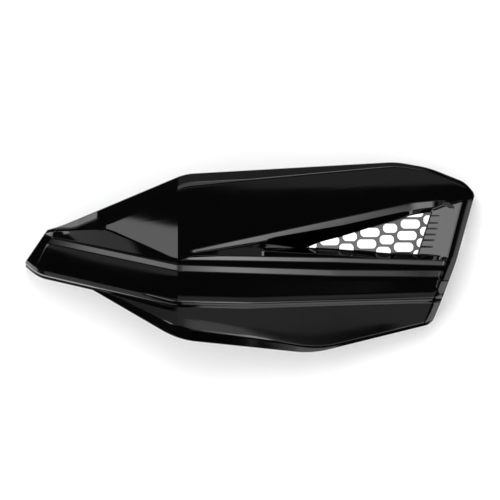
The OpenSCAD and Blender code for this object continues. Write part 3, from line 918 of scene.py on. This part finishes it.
    def shell(self) -> bpy.types.Mesh:
        """The closed shell: outer grid, rim rings and inner grid."""
        corner = self.skin.corner_lines()
        cuts = np.tile(self.cuts, (len(corner), 1))
        beak = self.skin.on_beak(corner[:, 17, 0])
        cuts[:, 14], cuts[:, 16] = mix(cuts[:, 14], 6.5, beak), mix(cuts[:, 16], 0.35, beak)
        outer = rounded(corner, cuts)
        inner = rounded(self.inner_lines(corner), np.minimum(cuts, 1.5))
        edge = self.loop_of(outer)
        drawn = outer.copy()
        for near, far in ((0, 1), (-1, -2)):
            step = outer[:, far] - outer[:, near]
            reach = np.minimum(self.skin.edge_cut, 0.45 * np.linalg.norm(step, axis=1, keepdims=True))
            drawn[:, near] += unit(step) * reach
        base = drawn.copy()
        for near, far in ((0, 1), (-1, -2)):
            step = base[far] - base[near]
            reach = np.minimum(self.skin.edge_cut, 0.45 * np.linalg.norm(step, axis=1, keepdims=True))
            drawn[near] += unit(step) * reach
        rings = self.rim_rings(self.loop_of(drawn), edge, self.loop_of(inner))
        n, m = outer.shape[:2]
        size = n * m
        loop = np.arange(size).reshape(n, m)
        first, last = self.loop_of(loop[..., None])[:, 0], self.loop_of(loop[..., None])[:, 0] + size
        middle = 2 * size + np.arange(len(rings) * len(edge)).reshape(len(rings), -1)
        tracks = np.concatenate([first[None], middle, last[None]])
        a, b = tracks[:-1], np.roll(tracks, -1, 1)[:-1]
        c, d = np.roll(tracks, -1, 1)[1:], tracks[1:]
        ring_quads = np.stack([a, d, c, b], -1).reshape(len(a), -1, 4)
        points = np.concatenate([drawn.reshape(-1, 3), inner.reshape(-1, 3), *rings])
        faces = [
            grid_quads(n, m)[:, ::-1][:, [3, 0, 1, 2]],
            ring_quads[:-1].reshape(-1, 4),
            ring_quads[-1:].reshape(-1, 4),
            grid_quads(n, m, size),
        ]
        sides = [Face.OUTER.value, Face.OUTER.value, Face.INNER.value, Face.INNER.value]
        return build_mesh("shield", points, faces, sides)

    # The honeycomb

    def on_vent(self, local: Array) -> Array:
        """Points of the vent's plane, given across, up and towards the front, in the drawing frame."""
        skin = self.skin
        tilt, turn = math.atan(skin.vent_tilt), -math.atan(skin.vent_turn)
        flat = np.stack([local[..., 0], -local[..., 2], local[..., 1]], -1)
        tilted = np.array([[1, 0, 0], [0, math.cos(tilt), -math.sin(tilt)], [0, math.sin(tilt), math.cos(tilt)]])
        turned = np.array([[math.cos(turn), -math.sin(turn), 0], [math.sin(turn), math.cos(turn), 0], [0, 0, 1]])
        return flat @ (turned @ tilted).T + np.array([skin.vent_x, skin.vent_depth, skin.vent_z])

    def cell_outline(self, length: float) -> Array:
        """Outline of a cell: a long box with cut corners, each of the eight corners rounded."""
        a, b, c = length / 2, (self.cell_row * math.cos(math.radians(self.cell_lean)) - self.rib_row) / 2, self.cell_cut
        corners = np.array([
            [c - a, -b], [a - c, -b], [a, c - b], [a, b - c], [a - c, b], [c - a, b], [-a, b - c], [-a, c - b],
        ])
        ring = np.concatenate([corners[-1:], corners, corners[:1]])
        flat = np.concatenate([ring, np.zeros((len(ring), 1))], 1)[None]
        return rounded(flat, np.full(8, 0.75), 3)[0, 1:-1, :2]

    def cell_at(self, column: int, row: int) -> Array:
        """Centre of a cell, across and up from the vent's point."""
        lean, fall = math.radians(self.cell_lean), math.radians(self.cell_fall)
        along = column * self.cell_pitch * np.array([math.cos(fall), -math.sin(fall)])
        down = (row + (0 if column % 2 == 0 else 0.5)) * self.cell_row * np.array([math.sin(lean), math.cos(lean)])
        return np.array([self.cell_x, self.cell_z]) + along - down

    def cell_cutters(self) -> bpy.types.Object:
        """Prisms that cut the cells, each flaring by cell_edge at the vent's front."""
        levels = np.array([(-8, 0), (-self.cell_edge, 0), (-0.1, 0.45), (0.3, 1.3), (8, 1.3)])
        levels[:, 1] *= self.cell_edge
        short = 2 * (self.cell_pitch - self.rib_col) - self.cell_long
        points, faces, start = [], [], 0
        for column, first, last in self.cell_columns:
            outline = self.cell_outline(self.cell_long if column % 2 == 0 else short)
            for row in range(first, last + 1):
                grow = unit(outline)[None] * levels[:, 1][:, None, None]
                ring = self.cell_at(column, row) + outline[None] + grow
                height = np.broadcast_to(levels[:, 0][:, None, None], ring.shape[:2] + (1,))
                points.append(self.on_vent(np.concatenate([ring, height], -1)).reshape(-1, 3))
                count = len(outline)
                faces.append(grid_quads(len(levels), count, start, closed=True))
                faces.append(start + np.arange(count)[::-1][None])
                faces.append(start + (len(levels) - 1) * count + np.arange(count)[None])
                start += len(levels) * count
        return add_object(build_mesh("cell_cutters", np.concatenate(points), faces, [0] * len(faces)))

    def window_cutter(self) -> bpy.types.Object:
        """Prism over the part of the vent's plane that the cells may open."""
        skin, steps = self.skin, 24
        _, right = skin.row_ends()
        last = skin.ramp_at * (right[8] - skin.end_band) - self.cell_gap
        lean = (right[8] - right[9]) * skin.ramp_at
        x = np.linspace(skin.vent_x + 4, last, steps)
        low_x = x - lean * np.linspace(0, 1, steps)
        top = np.stack([x, skin.recess_z(2, x) - self.cell_gap], -1)
        low = np.stack([low_x, skin.recess_z(3, low_x) + self.cell_gap], -1)
        outline = np.concatenate([low, top[::-1]]) - np.array([skin.vent_x, skin.vent_z])
        count = len(outline)
        levels = [np.concatenate([outline, np.full((count, 1), h)], 1) for h in (-9.0, 9.0)]
        faces = [
            grid_quads(2, count, closed=True), np.arange(count)[::-1][None], count + np.arange(count)[None],
        ]
        points = self.on_vent(np.concatenate(levels))
        return add_object(build_mesh("window_cutter", points, faces, [0, 0, 0]))

    def rib_ends(self) -> tuple[list[Array], list[Array]]:
        """Ends of the ribs running up the ramp: half-round ridges that fade out along x."""
        skin = self.skin
        _, right = skin.row_ends()
        points, faces, start = [], [], 0
        along = np.linspace(0, 1, 14)[:, None]
        across = np.linspace(-1, 1, 7)[None, :]
        edge = skin.ramp_at * (right[8] - skin.end_band)
        for height in self.rib_end_heights:
            x = edge - self.rib_end_back + self.rib_end_l * along - self.rib_end_lean * (self.rib_end_top - height)
            z = height + self.rib_end_r * across + 0 * x
            x = x + 0 * z
            u = np.clip(x / (np.interp(z, [9.0, 33.0], [right[9], right[8]]) - skin.end_band), 0, 1)
            surface = -skin.recess_f(2, x, z, u)
            proud = self.rib_end_proud * np.sqrt(np.maximum(1 - across**2, 0)) * (1 - along**3) - self.rib_end_sunk
            front = np.stack([x, surface - proud, z], -1)
            rear = np.stack([x, surface + 1.0, z], -1)
            ring = np.concatenate([front, rear[:, ::-1]], 1)
            count = ring.shape[1]
            points.append(ring.reshape(-1, 3))
            faces.append(grid_quads(len(ring), count, start, closed=True))
            faces.append(start + np.arange(count)[None][:, ::-1])
            faces.append(start + (len(ring) - 1) * count + np.arange(count)[None])
            start += ring.size // 3
        return points, faces

    # Bosses behind

    def fixings(self) -> list[tuple[float, float, Callable[[Array, Array], Array], tuple[int, ...]]]:
        """Each fixing's x and z, the depth of the face in front of it and its gussets' directions."""
        top, low = self.skin.upper_f, self.skin.lower_f
        inner_x = self.fix_x + self.fix_l
        return [
            (self.fix_x, self.fix_top_z, top, (0, 90, 180, 270)),
            (self.fix_x, self.fix_low_z, low, (0, 90, 180)),
            (inner_x, self.fix_top_z + self.fix_rise, top, (0, 90, 180, 270)),
            (inner_x, self.fix_low_z, low, (0, 90, 180)),
        ]

    def boss_points(self, x: float, z: float, face: Callable[[Array, Array], Array]) -> Array:
        """Boss as a profile turned round the fixing's axis, its foot sunk into the wall in front.

        Args:
            x: the axis's place along the guard.
            z: the axis's height.
            face: depth of the outer face at x and z.

        Returns:
            Points by profile step and turn.
        """
        angle = np.linspace(0, 2 * math.pi, 48, endpoint=False)[None]
        deep = self.bore_l + self.screw_end
        profile = np.array([
            (self.boss_r, np.nan), (self.boss_r, 0.5), (self.boss_r - 0.15, 0.15), (self.boss_r - 0.5, 0),
            (self.bore_r + 0.35, 0), (self.bore_r + 0.1, 0.1), (self.bore_r, 0.35), (self.bore_r, self.bore_l),
            (self.screw_r, self.bore_l + 0.05), (self.screw_r, deep - 0.4), (self.screw_r - 0.4, deep), (0.02, deep),
        ])
        radius, down = profile[:, :1], profile[:, 1:]
        px = x + radius * np.cos(angle)
        pz = z + radius * np.sin(angle)
        foot = -face(px, pz) + self.skin.wall / 2
        py = np.where(np.isnan(down), foot, self.fix_depth - down)
        closing = np.stack([px[0] * 0 + x, foot[0] * 0 + float(-face(x, z)) + self.skin.wall / 2, px[0] * 0 + z], -1)
        return np.concatenate([closing[None], np.stack([px, py, pz], -1)])

    def gusset_points(self, x: float, z: float, face: Callable[[Array, Array], Array], turn: int) -> Array:
        """Gusset as a rounded thin box carried from a third of the boss's height to the wall.

        Args:
            x: the boss's place along the guard.
            z: the boss's height.
            face: depth of the outer face at x and z.
            turn: the gusset's direction in degrees, 0 along X and 90 up.

        Returns:
            Points by step and round the gusset's outline.
        """
        height = self.fix_depth - float(-face(x, z))
        step = np.linspace(0, 1, 12)[:, None]
        around = np.linspace(0, 2 * math.pi, 20, endpoint=False)[None]
        half = self.gusset_t / 2
        reach = self.boss_r + self.gusset_reach * step
        edge_x = np.clip(np.cos(around) * 1.6, -1, 1)
        edge_y = np.clip(np.sin(around) * 1.6, -1, 1)
        long = reach / 2 + (reach / 2 - 0.3 * (1 - np.abs(edge_y))) * edge_x
        wide = half * edge_y * (1 + 0.15 * step)
        cos, sin = math.cos(math.radians(turn)), math.sin(math.radians(turn))
        px = x + long * cos - wide * sin
        pz = z + long * sin + wide * cos
        foot = -face(px, pz) + self.skin.wall / 2
        level = self.fix_depth - mix(height / 3, height, step)
        return np.stack([px, np.where(step > 0.99, foot, np.maximum(level, foot)), pz], -1)

    def supports(self) -> tuple[list[Array], list[Array]]:
        """Points and faces of the bosses and gussets."""
        points, faces, start = [], [], 0
        for x, z, face, turns in self.fixings():
            boss = self.boss_points(x, z, face)
            rows, count = boss.shape[:2]
            points.append(boss.reshape(-1, 3))
            faces.append(grid_quads(rows, count, start, closed=True)[:, ::-1])
            faces.append(start + (rows - 1) * count + np.arange(count)[None][:, ::-1])
            start += rows * count
            for turn in turns:
                gusset = self.gusset_points(x, z, face, turn)
                rows, count = gusset.shape[:2]
                points.append(gusset.reshape(-1, 3))
                faces.append(grid_quads(rows, count, start, closed=True))
                faces.append(start + np.arange(count)[None][:, ::-1])
                faces.append(start + (rows - 1) * count + np.arange(count)[None])
                start += rows * count
        return points, faces

    def build(self) -> bpy.types.Object:
        """Builds the whole shield.

        Returns:
            The finished piece, riding on the root body in place of the solid.
        """
        materials = [self.gloss.material(), self.satin.material()]
        shell = add_object(self.shell(), materials)
        cells, window = self.cell_cutters(), self.window_cutter()
        clip = cells.modifiers.new("window", "BOOLEAN")
        clip.operation, clip.object, clip.solver = "INTERSECT", window, "EXACT"
        settle(cells)
        cut = shell.modifiers.new("cells", "BOOLEAN")
        cut.operation, cut.object, cut.solver = "DIFFERENCE", cells, "EXACT"
        settle(shell)
        for tool in (cells, window):
            bpy.data.objects.remove(tool)
        behind_points, behind_faces = self.supports()
        rib_points, rib_faces = self.rib_ends()
        behind = add_object(
            build_mesh("supports", np.concatenate(behind_points), behind_faces, [Face.INNER.value] * len(behind_faces)),
            shell.data.materials[:],
        )
        ribs = add_object(
            build_mesh("rib_ends", np.concatenate(rib_points), rib_faces, [Face.OUTER.value] * len(rib_faces)),
            shell.data.materials[:],
        )
        shell = join("shield_moulding", [shell, behind, ribs])
        smooth_by_weight(shell, 32, fold_x=0.0)
        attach(shell, "root")
        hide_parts("shield")
        log.info("shield: %d faces", len(shell.data.polygons))
        return shell


def join(name: str, pieces: Sequence[bpy.types.Object]) -> bpy.types.Object:
    """Joins pieces into the first one and names it."""
    with bpy.context.temp_override(active_object=pieces[0], selected_editable_objects=list(pieces)):
        bpy.ops.object.join()
    pieces[0].name = pieces[0].data.name = name
    return pieces[0]


@dataclass
class Insert:
    """A threaded brass insert, its mouth at a fixing and its axis along Y."""

    name: str
    x: float
    z: float
    brass: bpy.types.Material
    outer_r: float = 3.95
    thread_r: float = 2.55
    thread_depth: float = 0.4
    length: float = 10.0
    pitch: float = 1.0
    chamfer: float = 0.5

    def build(self) -> bpy.types.Object:
        """Builds the insert in place of its solid.

        The thread's wall has the radius r + depth |2 s - 1|, where s is the share of a pitch reached at
        that depth less the share of a turn, and the thread fades into a chamfer at both ends.

        Returns:
            The finished piece.
        """
        turns = np.linspace(0, 2 * math.pi, 72, endpoint=False)[None]
        down = np.linspace(0, self.length, 101)[:, None]
        share = (down / self.pitch - turns / (2 * math.pi)) % 1.0
        thread = self.thread_r + self.thread_depth * np.abs(2 * share - 1)
        near_end = np.minimum(down, self.length - down)
        bore = np.maximum(thread, self.thread_r + self.thread_depth + self.chamfer - near_end)
        flare = self.outer_r - 0.2
        knurl = 0.12 * np.abs(np.sin(12 * turns))
        rings = [
            (self.outer_r + 0 * turns, self.length - 0.3), (flare + 0 * turns, self.length),
            *[(bore[i:i + 1], float(down[i, 0])) for i in range(len(down) - 1, -1, -1)],
            (flare + 0 * turns, 0.0), (self.outer_r + 0 * turns, 0.2), (self.outer_r - knurl, 1.2),
            (self.outer_r - knurl, 4.4), (self.outer_r - 0.5 + 0 * turns, 4.6), (self.outer_r - 0.5 + 0 * turns, 5.6),
            (self.outer_r - knurl, 5.8), (self.outer_r - knurl, self.length - 1.2),
        ]
        radius = np.concatenate([r for r, _ in rings])
        depth = np.array([d for _, d in rings])[:, None]
        place = np.stack([
            self.x + radius * np.cos(turns), ORIGIN[1] - depth + 0 * turns, self.z + radius * np.sin(turns),
        ], -1)
        rows, count = radius.shape
        faces = grid_quads(rows + 1, count, closed=True) % (rows * count)
        mesh = build_mesh(self.name + "_threaded", place.reshape(-1, 3), [faces], [0])
        piece = add_object(mesh, [self.brass])
        smooth_by_weight(piece, 35)
        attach(piece, "root")
        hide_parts(self.name)
        log.info("%s: %d faces", piece.name, len(piece.data.polygons))
        return piece


# The studio


def direction(azimuth: float, elevation: float) -> Vector:
    """Direction seen from the guard, in degrees: azimuth 0 is the camera's side and 90 is +X."""
    turn, rise = math.radians(azimuth), math.radians(elevation)
    return Vector((math.sin(turn) * math.cos(rise), -math.cos(turn) * math.cos(rise), math.sin(rise)))


def seen_in_gloss(piece: bpy.types.Object) -> bpy.types.Object:
    """Stages a piece that only the guard's gloss sees, and returns it."""
    piece.visible_camera = piece.visible_diffuse = piece.visible_shadow = piece.visible_transmission = False
    return piece


def even(level: float, soft: float = 0.1) -> tuple[tuple[float, float], ...]:
    """Profile of a card with one level, fading at both sides over a share of its width."""
    return ((0.0, 0.0), (soft, level), (1 - soft, level), (1.0, 0.0))


@dataclass(frozen=True)
class Card:
    """A glowing card seen in the guard's gloss, hung in a direction seen from the guard.

    Its glow follows levels across its width, as (share of the width, radiance), and fades over the
    shares soft of its height at its low and high sides.
    """

    name: str
    azimuth: float
    elevation: float
    width: float
    height: float
    levels: tuple[tuple[float, float], ...]
    soft: tuple[float, float] = (0.15, 0.15)
    roll: float = 0.0
    distance: float = 1.6

    def glow(self) -> bpy.types.Material:
        """Builds the card's material, whose strength follows its levels."""
        material, nodes, links = new_material(self.name)
        nodes.remove(nodes["Principled BSDF"])
        place = nodes.new("ShaderNodeUVMap")
        split = nodes.new("ShaderNodeSeparateXYZ")
        links.new(place.outputs["UV"], split.inputs["Vector"])
        profile = nodes.new("ShaderNodeValToRGB")
        most = max(level for _, level in self.levels)
        stops = profile.color_ramp.elements
        while len(stops) < len(self.levels):
            stops.new(0.5)
        for stop, (share, level) in zip(stops, sorted(self.levels)):
            stop.position = share
            stop.color = (level / most,) * 3 + (1,)
        links.new(split.outputs["X"], profile.inputs["Fac"])
        value = profile.outputs["Color"]
        for dark, bright, scale in ((0.0, self.soft[0], most), (1.0, 1 - self.soft[1], 1.0)):
            step = nodes.new("ShaderNodeMapRange")
            step.interpolation_type = "SMOOTHSTEP"
            step.inputs["From Min"].default_value = dark
            step.inputs["From Max"].default_value = bright
            step.inputs["To Max"].default_value = scale
            links.new(split.outputs["Y"], step.inputs["Value"])
            value = combine(nodes, links, "MULTIPLY", value, step.outputs["Result"])
        glow = nodes.new("ShaderNodeEmission")
        links.new(value, glow.inputs["Strength"])
        links.new(glow.outputs[0], nodes["Material Output"].inputs["Surface"])
        return material

    def build(self, centre: Vector) -> bpy.types.Object:
        """Hangs the card so that it faces the guard.

        Args:
            centre: the guard's centre.

        Returns:
            The card, which only the guard's gloss sees.
        """
        away = direction(self.azimuth, self.elevation)
        across = direction(self.azimuth + 90, 0)
        up = across.cross(-away)
        roll = math.radians(self.roll)
        across, up = across * math.cos(roll) + up * math.sin(roll), up * math.cos(roll) - across * math.sin(roll)
        across = across * (self.distance * math.tan(math.radians(self.width / 2)))
        up = up * (self.distance * math.tan(math.radians(self.height / 2)))
        middle = centre + away * self.distance
        corners = [middle - across - up, middle + across - up, middle + across + up, middle - across + up]
        return seen_in_gloss(add_quad(self.name, corners, self.glow()))


@dataclass(frozen=True)
class Lamp:
    """A soft lamp that lights the table and the guard's matt side, and is left out of the gloss."""

    name: str
    azimuth: float
    elevation: float
    size: float
    level: float
    distance: float = 1.6

    def build(self, centre: Vector) -> None:
        """Hangs the lamp so that it faces the guard.

        Args:
            centre: the guard's centre.
        """
        away = direction(self.azimuth, self.elevation)
        data = bpy.data.lights.new(self.name, "AREA")
        data.shape, data.size = "DISK", self.size
        data.energy = self.level * 4 * self.distance**2
        lamp = bpy.data.objects.new(self.name, data)
        bpy.context.scene.collection.objects.link(lamp)
        lamp.location = centre + away * self.distance
        lamp.rotation_euler = away.to_track_quat("Z", "Y").to_euler()
        lamp.visible_glossy = False


@dataclass
class Studio:
    """Camera, lamps, cards, white table and the dark room in front of them."""

    centre: tuple[float, float, float] = (0.0201, 0.0, -0.0233)
    view_width: float = 0.320
    camera_distance: float = 10.0
    sensor: float = 36.0
    table_left: tuple[float, float] = (-0.124, 0.0525)
    table_right: tuple[float, float] = (0.135, 0.0068)
    table_reach: float = 0.6
    floor_reach: float = 8.0
    floor_z: float = -0.6
    paint: float = 0.9
    room_r: float = 4.0
    room_edge: float = 2.3
    room_steps: tuple[int, int] = (24, 48)
    room_glow: float = 0.015
    fill: float = 0.95
    table_glow: float = 0.19
    # Painted light on the table behind the honeycomb: its added glow, its centre, its size and the share of its
    # full-strength core. It lifts the guard's shadow seen through the cells.
    vent_painted_light: float = 0.9
    vent_x: float = 0.102
    vent_z: float = -0.0135
    painted_light_size: tuple[float, float] = (0.058, 0.034)
    painted_light_core: float = 0.75
    lamps: tuple[Lamp, ...] = (
        Lamp("key", -5, 35, 1.2, 0.9),
        Lamp("rear", 170, 35, 0.8, 1.6),
    )
    cards: tuple[Card, ...] = (
        Card("high_front", 8, 38.5, 60, 14, even(0.37), (0.04, 0.1), roll=14),
        Card("high", 0, 69, 50, 20, even(1.25, 0.2), (0.15, 0.2)),
        Card("top", 0, 83.7, 32, 6.5, (
            (0, 0.5), (0.4, 3.0), (0.5, 5.2), (0.59, 5.8), (0.67, 3.9), (0.76, 2.3), (0.85, 1.6), (1, 1.2),
        )),
        Card("top_back", 0, 98, 40, 14, even(0.22), (0.1, 0.2)),
        Card("low", 0, -70, 27, 15, (
            (0, 0.4), (0.42, 0.9), (0.46, 1.9), (0.51, 4.6), (0.55, 4.8), (0.6, 3.6), (0.68, 2.3), (0.75, 1.7),
            (0.84, 1.3), (1, 0.9),
        )),
        Card("low_right", 44, -64, 24, 11, (
            (0, 0.6), (0.24, 2.0), (0.42, 4.4), (0.55, 3.4), (0.68, 1.9), (0.83, 1.5), (1, 0.7),
        )),
        Card("lower_front", 10, -52, 62, 15, even(0.45), (0.1, 0.08)),
        Card("lower_left", -58, -47, 66, 22, (
            (0, 0.1), (0.064, 0.25), (0.15, 0.28), (0.39, 0.33), (0.57, 0.43), (0.77, 0.45), (1, 0.45),
        ), (0.15, 0.1), roll=-12, distance=1.5),
        Card("streak", -9, -60, 32, 10, (
            (0, 0.5), (0.13, 0.85), (0.33, 1.1), (0.58, 1.2), (0.7, 1.1), (0.75, 0.6), (0.8, 0.2), (1, 0),
        ), (0.12, 0.05), distance=1.45),
        Card("front_low", 12, -37, 40, 14, even(0.5), (0.15, 0.3)),
        Card("middle_low", 2, -24, 19, 12, (
            (0, 0), (0.5, 0.015), (0.75, 0.04), (0.96, 0.08), (1, 0),
        ), (0.3, 0.3), roll=-5),
        Card("low_back", 0, -105, 24, 24, ((0, 0), (0.40, 0), (0.46, 1.3), (1, 1.3))),
        Card("left", -72, 1.5, 16, 23, even(2.5, 0.12), (0.2, 0.06)),
        Card("ramp", -31, 16.5, 48, 24, even(4.2), (0.15, 0.12), 28),
        Card("vent", -10, -6, 12, 9, even(4.2, 0.12)),
        Card("beak_face", -61, -8.6, 9, 15, even(0.42), distance=1.5),
        Card("beak_under", -147, -45, 14, 10, even(0.3)),
        Card("vent_flag", 179, 27, 24, 26, even(0.02)),
        Card("left_high", -75, 56, 48, 22, even(0.68), (0.1, 0.2), -8),
        Card("left_low", -92, -45, 10, 8, even(2.8), distance=1.4),
        Card("beak_rim", -124, 53.5, 10, 13, even(2.6, 0.15)),
        Card("right", 80, 0, 18, 48, even(1.5)),
        Card("right_low", 107, -46, 26, 14, even(1.8)),
    )

    def camera(self) -> None:
        """Long lens square on to the guard's body."""
        data = bpy.data.cameras.new("camera")
        data.sensor_width = self.sensor
        data.lens = self.sensor * self.camera_distance / self.view_width
        data.clip_end = 100
        view = bpy.data.objects.new("camera", data)
        view.location = (self.centre[0], -self.camera_distance, self.centre[2])
        view.rotation_euler = (math.pi / 2, 0, 0)
        bpy.context.scene.collection.objects.link(view)
        bpy.context.scene.camera = view

    def world(self) -> None:
        """World that is white where it is seen, and a weak fill elsewhere."""
        world = bpy.data.worlds.new("studio")
        bpy.context.scene.world = world
        world.use_nodes = True
        nodes, links = world.node_tree.nodes, world.node_tree.links
        background = nodes["Background"]
        background.inputs["Color"].default_value = (1, 1, 1, 1)
        seen = self.seen(nodes, links)
        level = nodes.new("ShaderNodeMapRange")
        level.inputs["To Min"].default_value = self.fill
        level.inputs["To Max"].default_value = 1.0
        links.new(seen, level.inputs["Value"])
        links.new(level.outputs["Result"], background.inputs["Strength"])

    @staticmethod
    def seen(nodes: Nodes, links: Links) -> Socket:
        """One for camera, glossy and transmission rays, and zero for the rest."""
        path = nodes.new("ShaderNodeLightPath").outputs
        straight = combine(nodes, links, "MAXIMUM", path["Is Camera Ray"], path["Is Glossy Ray"])
        return combine(nodes, links, "MAXIMUM", straight, path["Is Transmission Ray"])

    def white_paint(self, name: str, glow_level: float) -> tuple[bpy.types.Material, bpy.types.Node, bpy.types.Node]:
        """White paint with a glow where it is seen.

        Args:
            name: the material's name.
            glow_level: the glow's strength.

        Returns:
            The material, its shader and the node that sets the glow's strength.
        """
        material, nodes, links = new_material(name)
        nodes.remove(nodes["Principled BSDF"])
        paint = nodes.new("ShaderNodeBsdfDiffuse")
        paint.inputs["Color"].default_value = (self.paint, self.paint, self.paint, 1)
        glow = nodes.new("ShaderNodeEmission")
        scale = nodes.new("ShaderNodeMath")
        scale.operation = "MULTIPLY"
        scale.inputs[1].default_value = glow_level
        links.new(self.seen(nodes, links), scale.inputs[0])
        links.new(scale.outputs[0], glow.inputs["Strength"])
        both = nodes.new("ShaderNodeAddShader")
        links.new(paint.outputs[0], both.inputs[0])
        links.new(glow.outputs[0], both.inputs[1])
        links.new(both.outputs[0], nodes["Material Output"].inputs["Surface"])
        return material, both, scale

    def table(self) -> None:
        """White table that the guard lies back on, seen from its front only, with a painted pool of light behind the
        vent that lifts the guard's shadow there.
        """
        material, both, scale = self.white_paint("white_table", self.table_glow)
        nodes, links = material.node_tree.nodes, material.node_tree.links
        behind = nodes.new("ShaderNodeNewGeometry")
        clear = nodes.new("ShaderNodeBsdfTransparent")
        side = nodes.new("ShaderNodeMixShader")
        links.new(behind.outputs["Backfacing"], side.inputs[0])
        links.new(both.outputs[0], side.inputs[1])
        links.new(clear.outputs[0], side.inputs[2])
        links.new(side.outputs[0], nodes["Material Output"].inputs["Surface"])
        # Painted light: an oval pool of extra glow on the table round the vent's place, which lifts the guard's shadow
        # there.
        place = nodes.new("ShaderNodeTexCoord")
        painted_light_offset = nodes.new("ShaderNodeMapping")
        painted_light_offset.inputs["Location"].default_value = (-self.vent_x, 0, -self.vent_z)
        stretch = nodes.new("ShaderNodeVectorMath")
        stretch.operation = "MULTIPLY"
        stretch.inputs[1].default_value = (1 / self.painted_light_size[0], 0, 1 / self.painted_light_size[1])
        length = nodes.new("ShaderNodeVectorMath")
        length.operation = "LENGTH"
        light = nodes.new("ShaderNodeMapRange")
        light.interpolation_type = "SMOOTHSTEP"
        light.inputs["From Min"].default_value = 1.0
        light.inputs["From Max"].default_value = self.painted_light_core
        light.inputs["To Min"].default_value = self.table_glow
        light.inputs["To Max"].default_value = self.table_glow + self.vent_painted_light
        links.new(place.outputs["Object"], painted_light_offset.inputs["Vector"])
        links.new(painted_light_offset.outputs["Vector"], stretch.inputs[0])
        links.new(stretch.outputs["Vector"], length.inputs[0])
        links.new(length.outputs["Value"], light.inputs["Value"])
        links.new(light.outputs["Result"], scale.inputs[1])
        left, right = Vector((*self.table_left, 0)), Vector((*self.table_right, 0))
        along = (right - left).normalized() * self.table_reach
        up = Vector((0, 0, self.table_reach))
        middle = (left + right) / 2 + Vector((0, 0, self.centre[2]))
        corners = [middle - along - up, middle + along - up, middle + along + up, middle - along + up]
        table = add_quad("table", corners, material)
        table.visible_glossy = False

    def floor(self) -> None:
        """Plain pale floor well below the guard."""
        material, _, _ = self.white_paint("pale_floor", self.table_glow)
        reach, level = self.floor_reach, self.floor_z
        corners = [
            Vector((-reach, -reach, level)), Vector((reach, -reach, level)),
            Vector((reach, reach, level)), Vector((-reach, reach, level)),
        ]
        floor = add_quad("floor", corners, material)
        floor.visible_glossy = False

    def dark_room(self) -> None:
        """Black cloth round the guard's front: part of a sphere, seen in its gloss alone."""
        material, nodes, links = new_material("black_cloth")
        nodes.remove(nodes["Principled BSDF"])
        cloth = nodes.new("ShaderNodeEmission")
        cloth.inputs["Strength"].default_value = self.room_glow
        links.new(cloth.outputs[0], nodes["Material Output"].inputs["Surface"])
        rings, spokes = self.room_steps
        polar = np.linspace(0.0, self.room_edge, rings)[:, None]
        around = np.linspace(0, 2 * math.pi, spokes, endpoint=False)[None]
        across, up = np.sin(polar) * np.cos(around), np.sin(polar) * np.sin(around)
        points = np.stack([across, -np.cos(polar) + 0 * around, up], -1)
        place = self.room_r * points.reshape(-1, 3) / METRES + ORIGIN
        mesh = build_mesh("room", place, [grid_quads(rings, spokes, closed=True)], [0])
        seen_in_gloss(add_object(mesh, [material]))

    def build(self) -> None:
        """Sets up the whole studio."""
        self.camera()
        self.world()
        self.table()
        self.floor()
        self.dark_room()
        for light in (*self.cards, *self.lamps):
            light.build(Vector(self.centre))
        bpy.context.scene.view_settings.view_transform = "Standard"


def main() -> None:
    """Builds the guard and the studio."""
    logging.basicConfig(level=logging.INFO, format="%(name)s: %(message)s")
    Studio().build()
    gloss = MouldedPlastic(
        "gloss_black", (0.0009, 0.0009, 0.001), roughness=0.07, spread=0.02, wave_height=0.00001, wave_scale=60,
    )
    satin = MouldedPlastic(
        "satin_black", (0.012, 0.012, 0.013), roughness=0.38, spread=0.06, wave_height=0.00002, wave_scale=90,
        grain_height=0.00001,
    )
    shield = Shield(Skin(), gloss, satin)
    shield.build()
    brass = TurnedBrass().material()
    names = ("insert_outer_top", "insert_outer_low", "insert_inner_top", "insert_inner_low")
    for name, (x, z, _, _) in zip(names, shield.fixings()):
        Insert(name, x, z, brass).build()


if __name__ == "__main__":
    main()
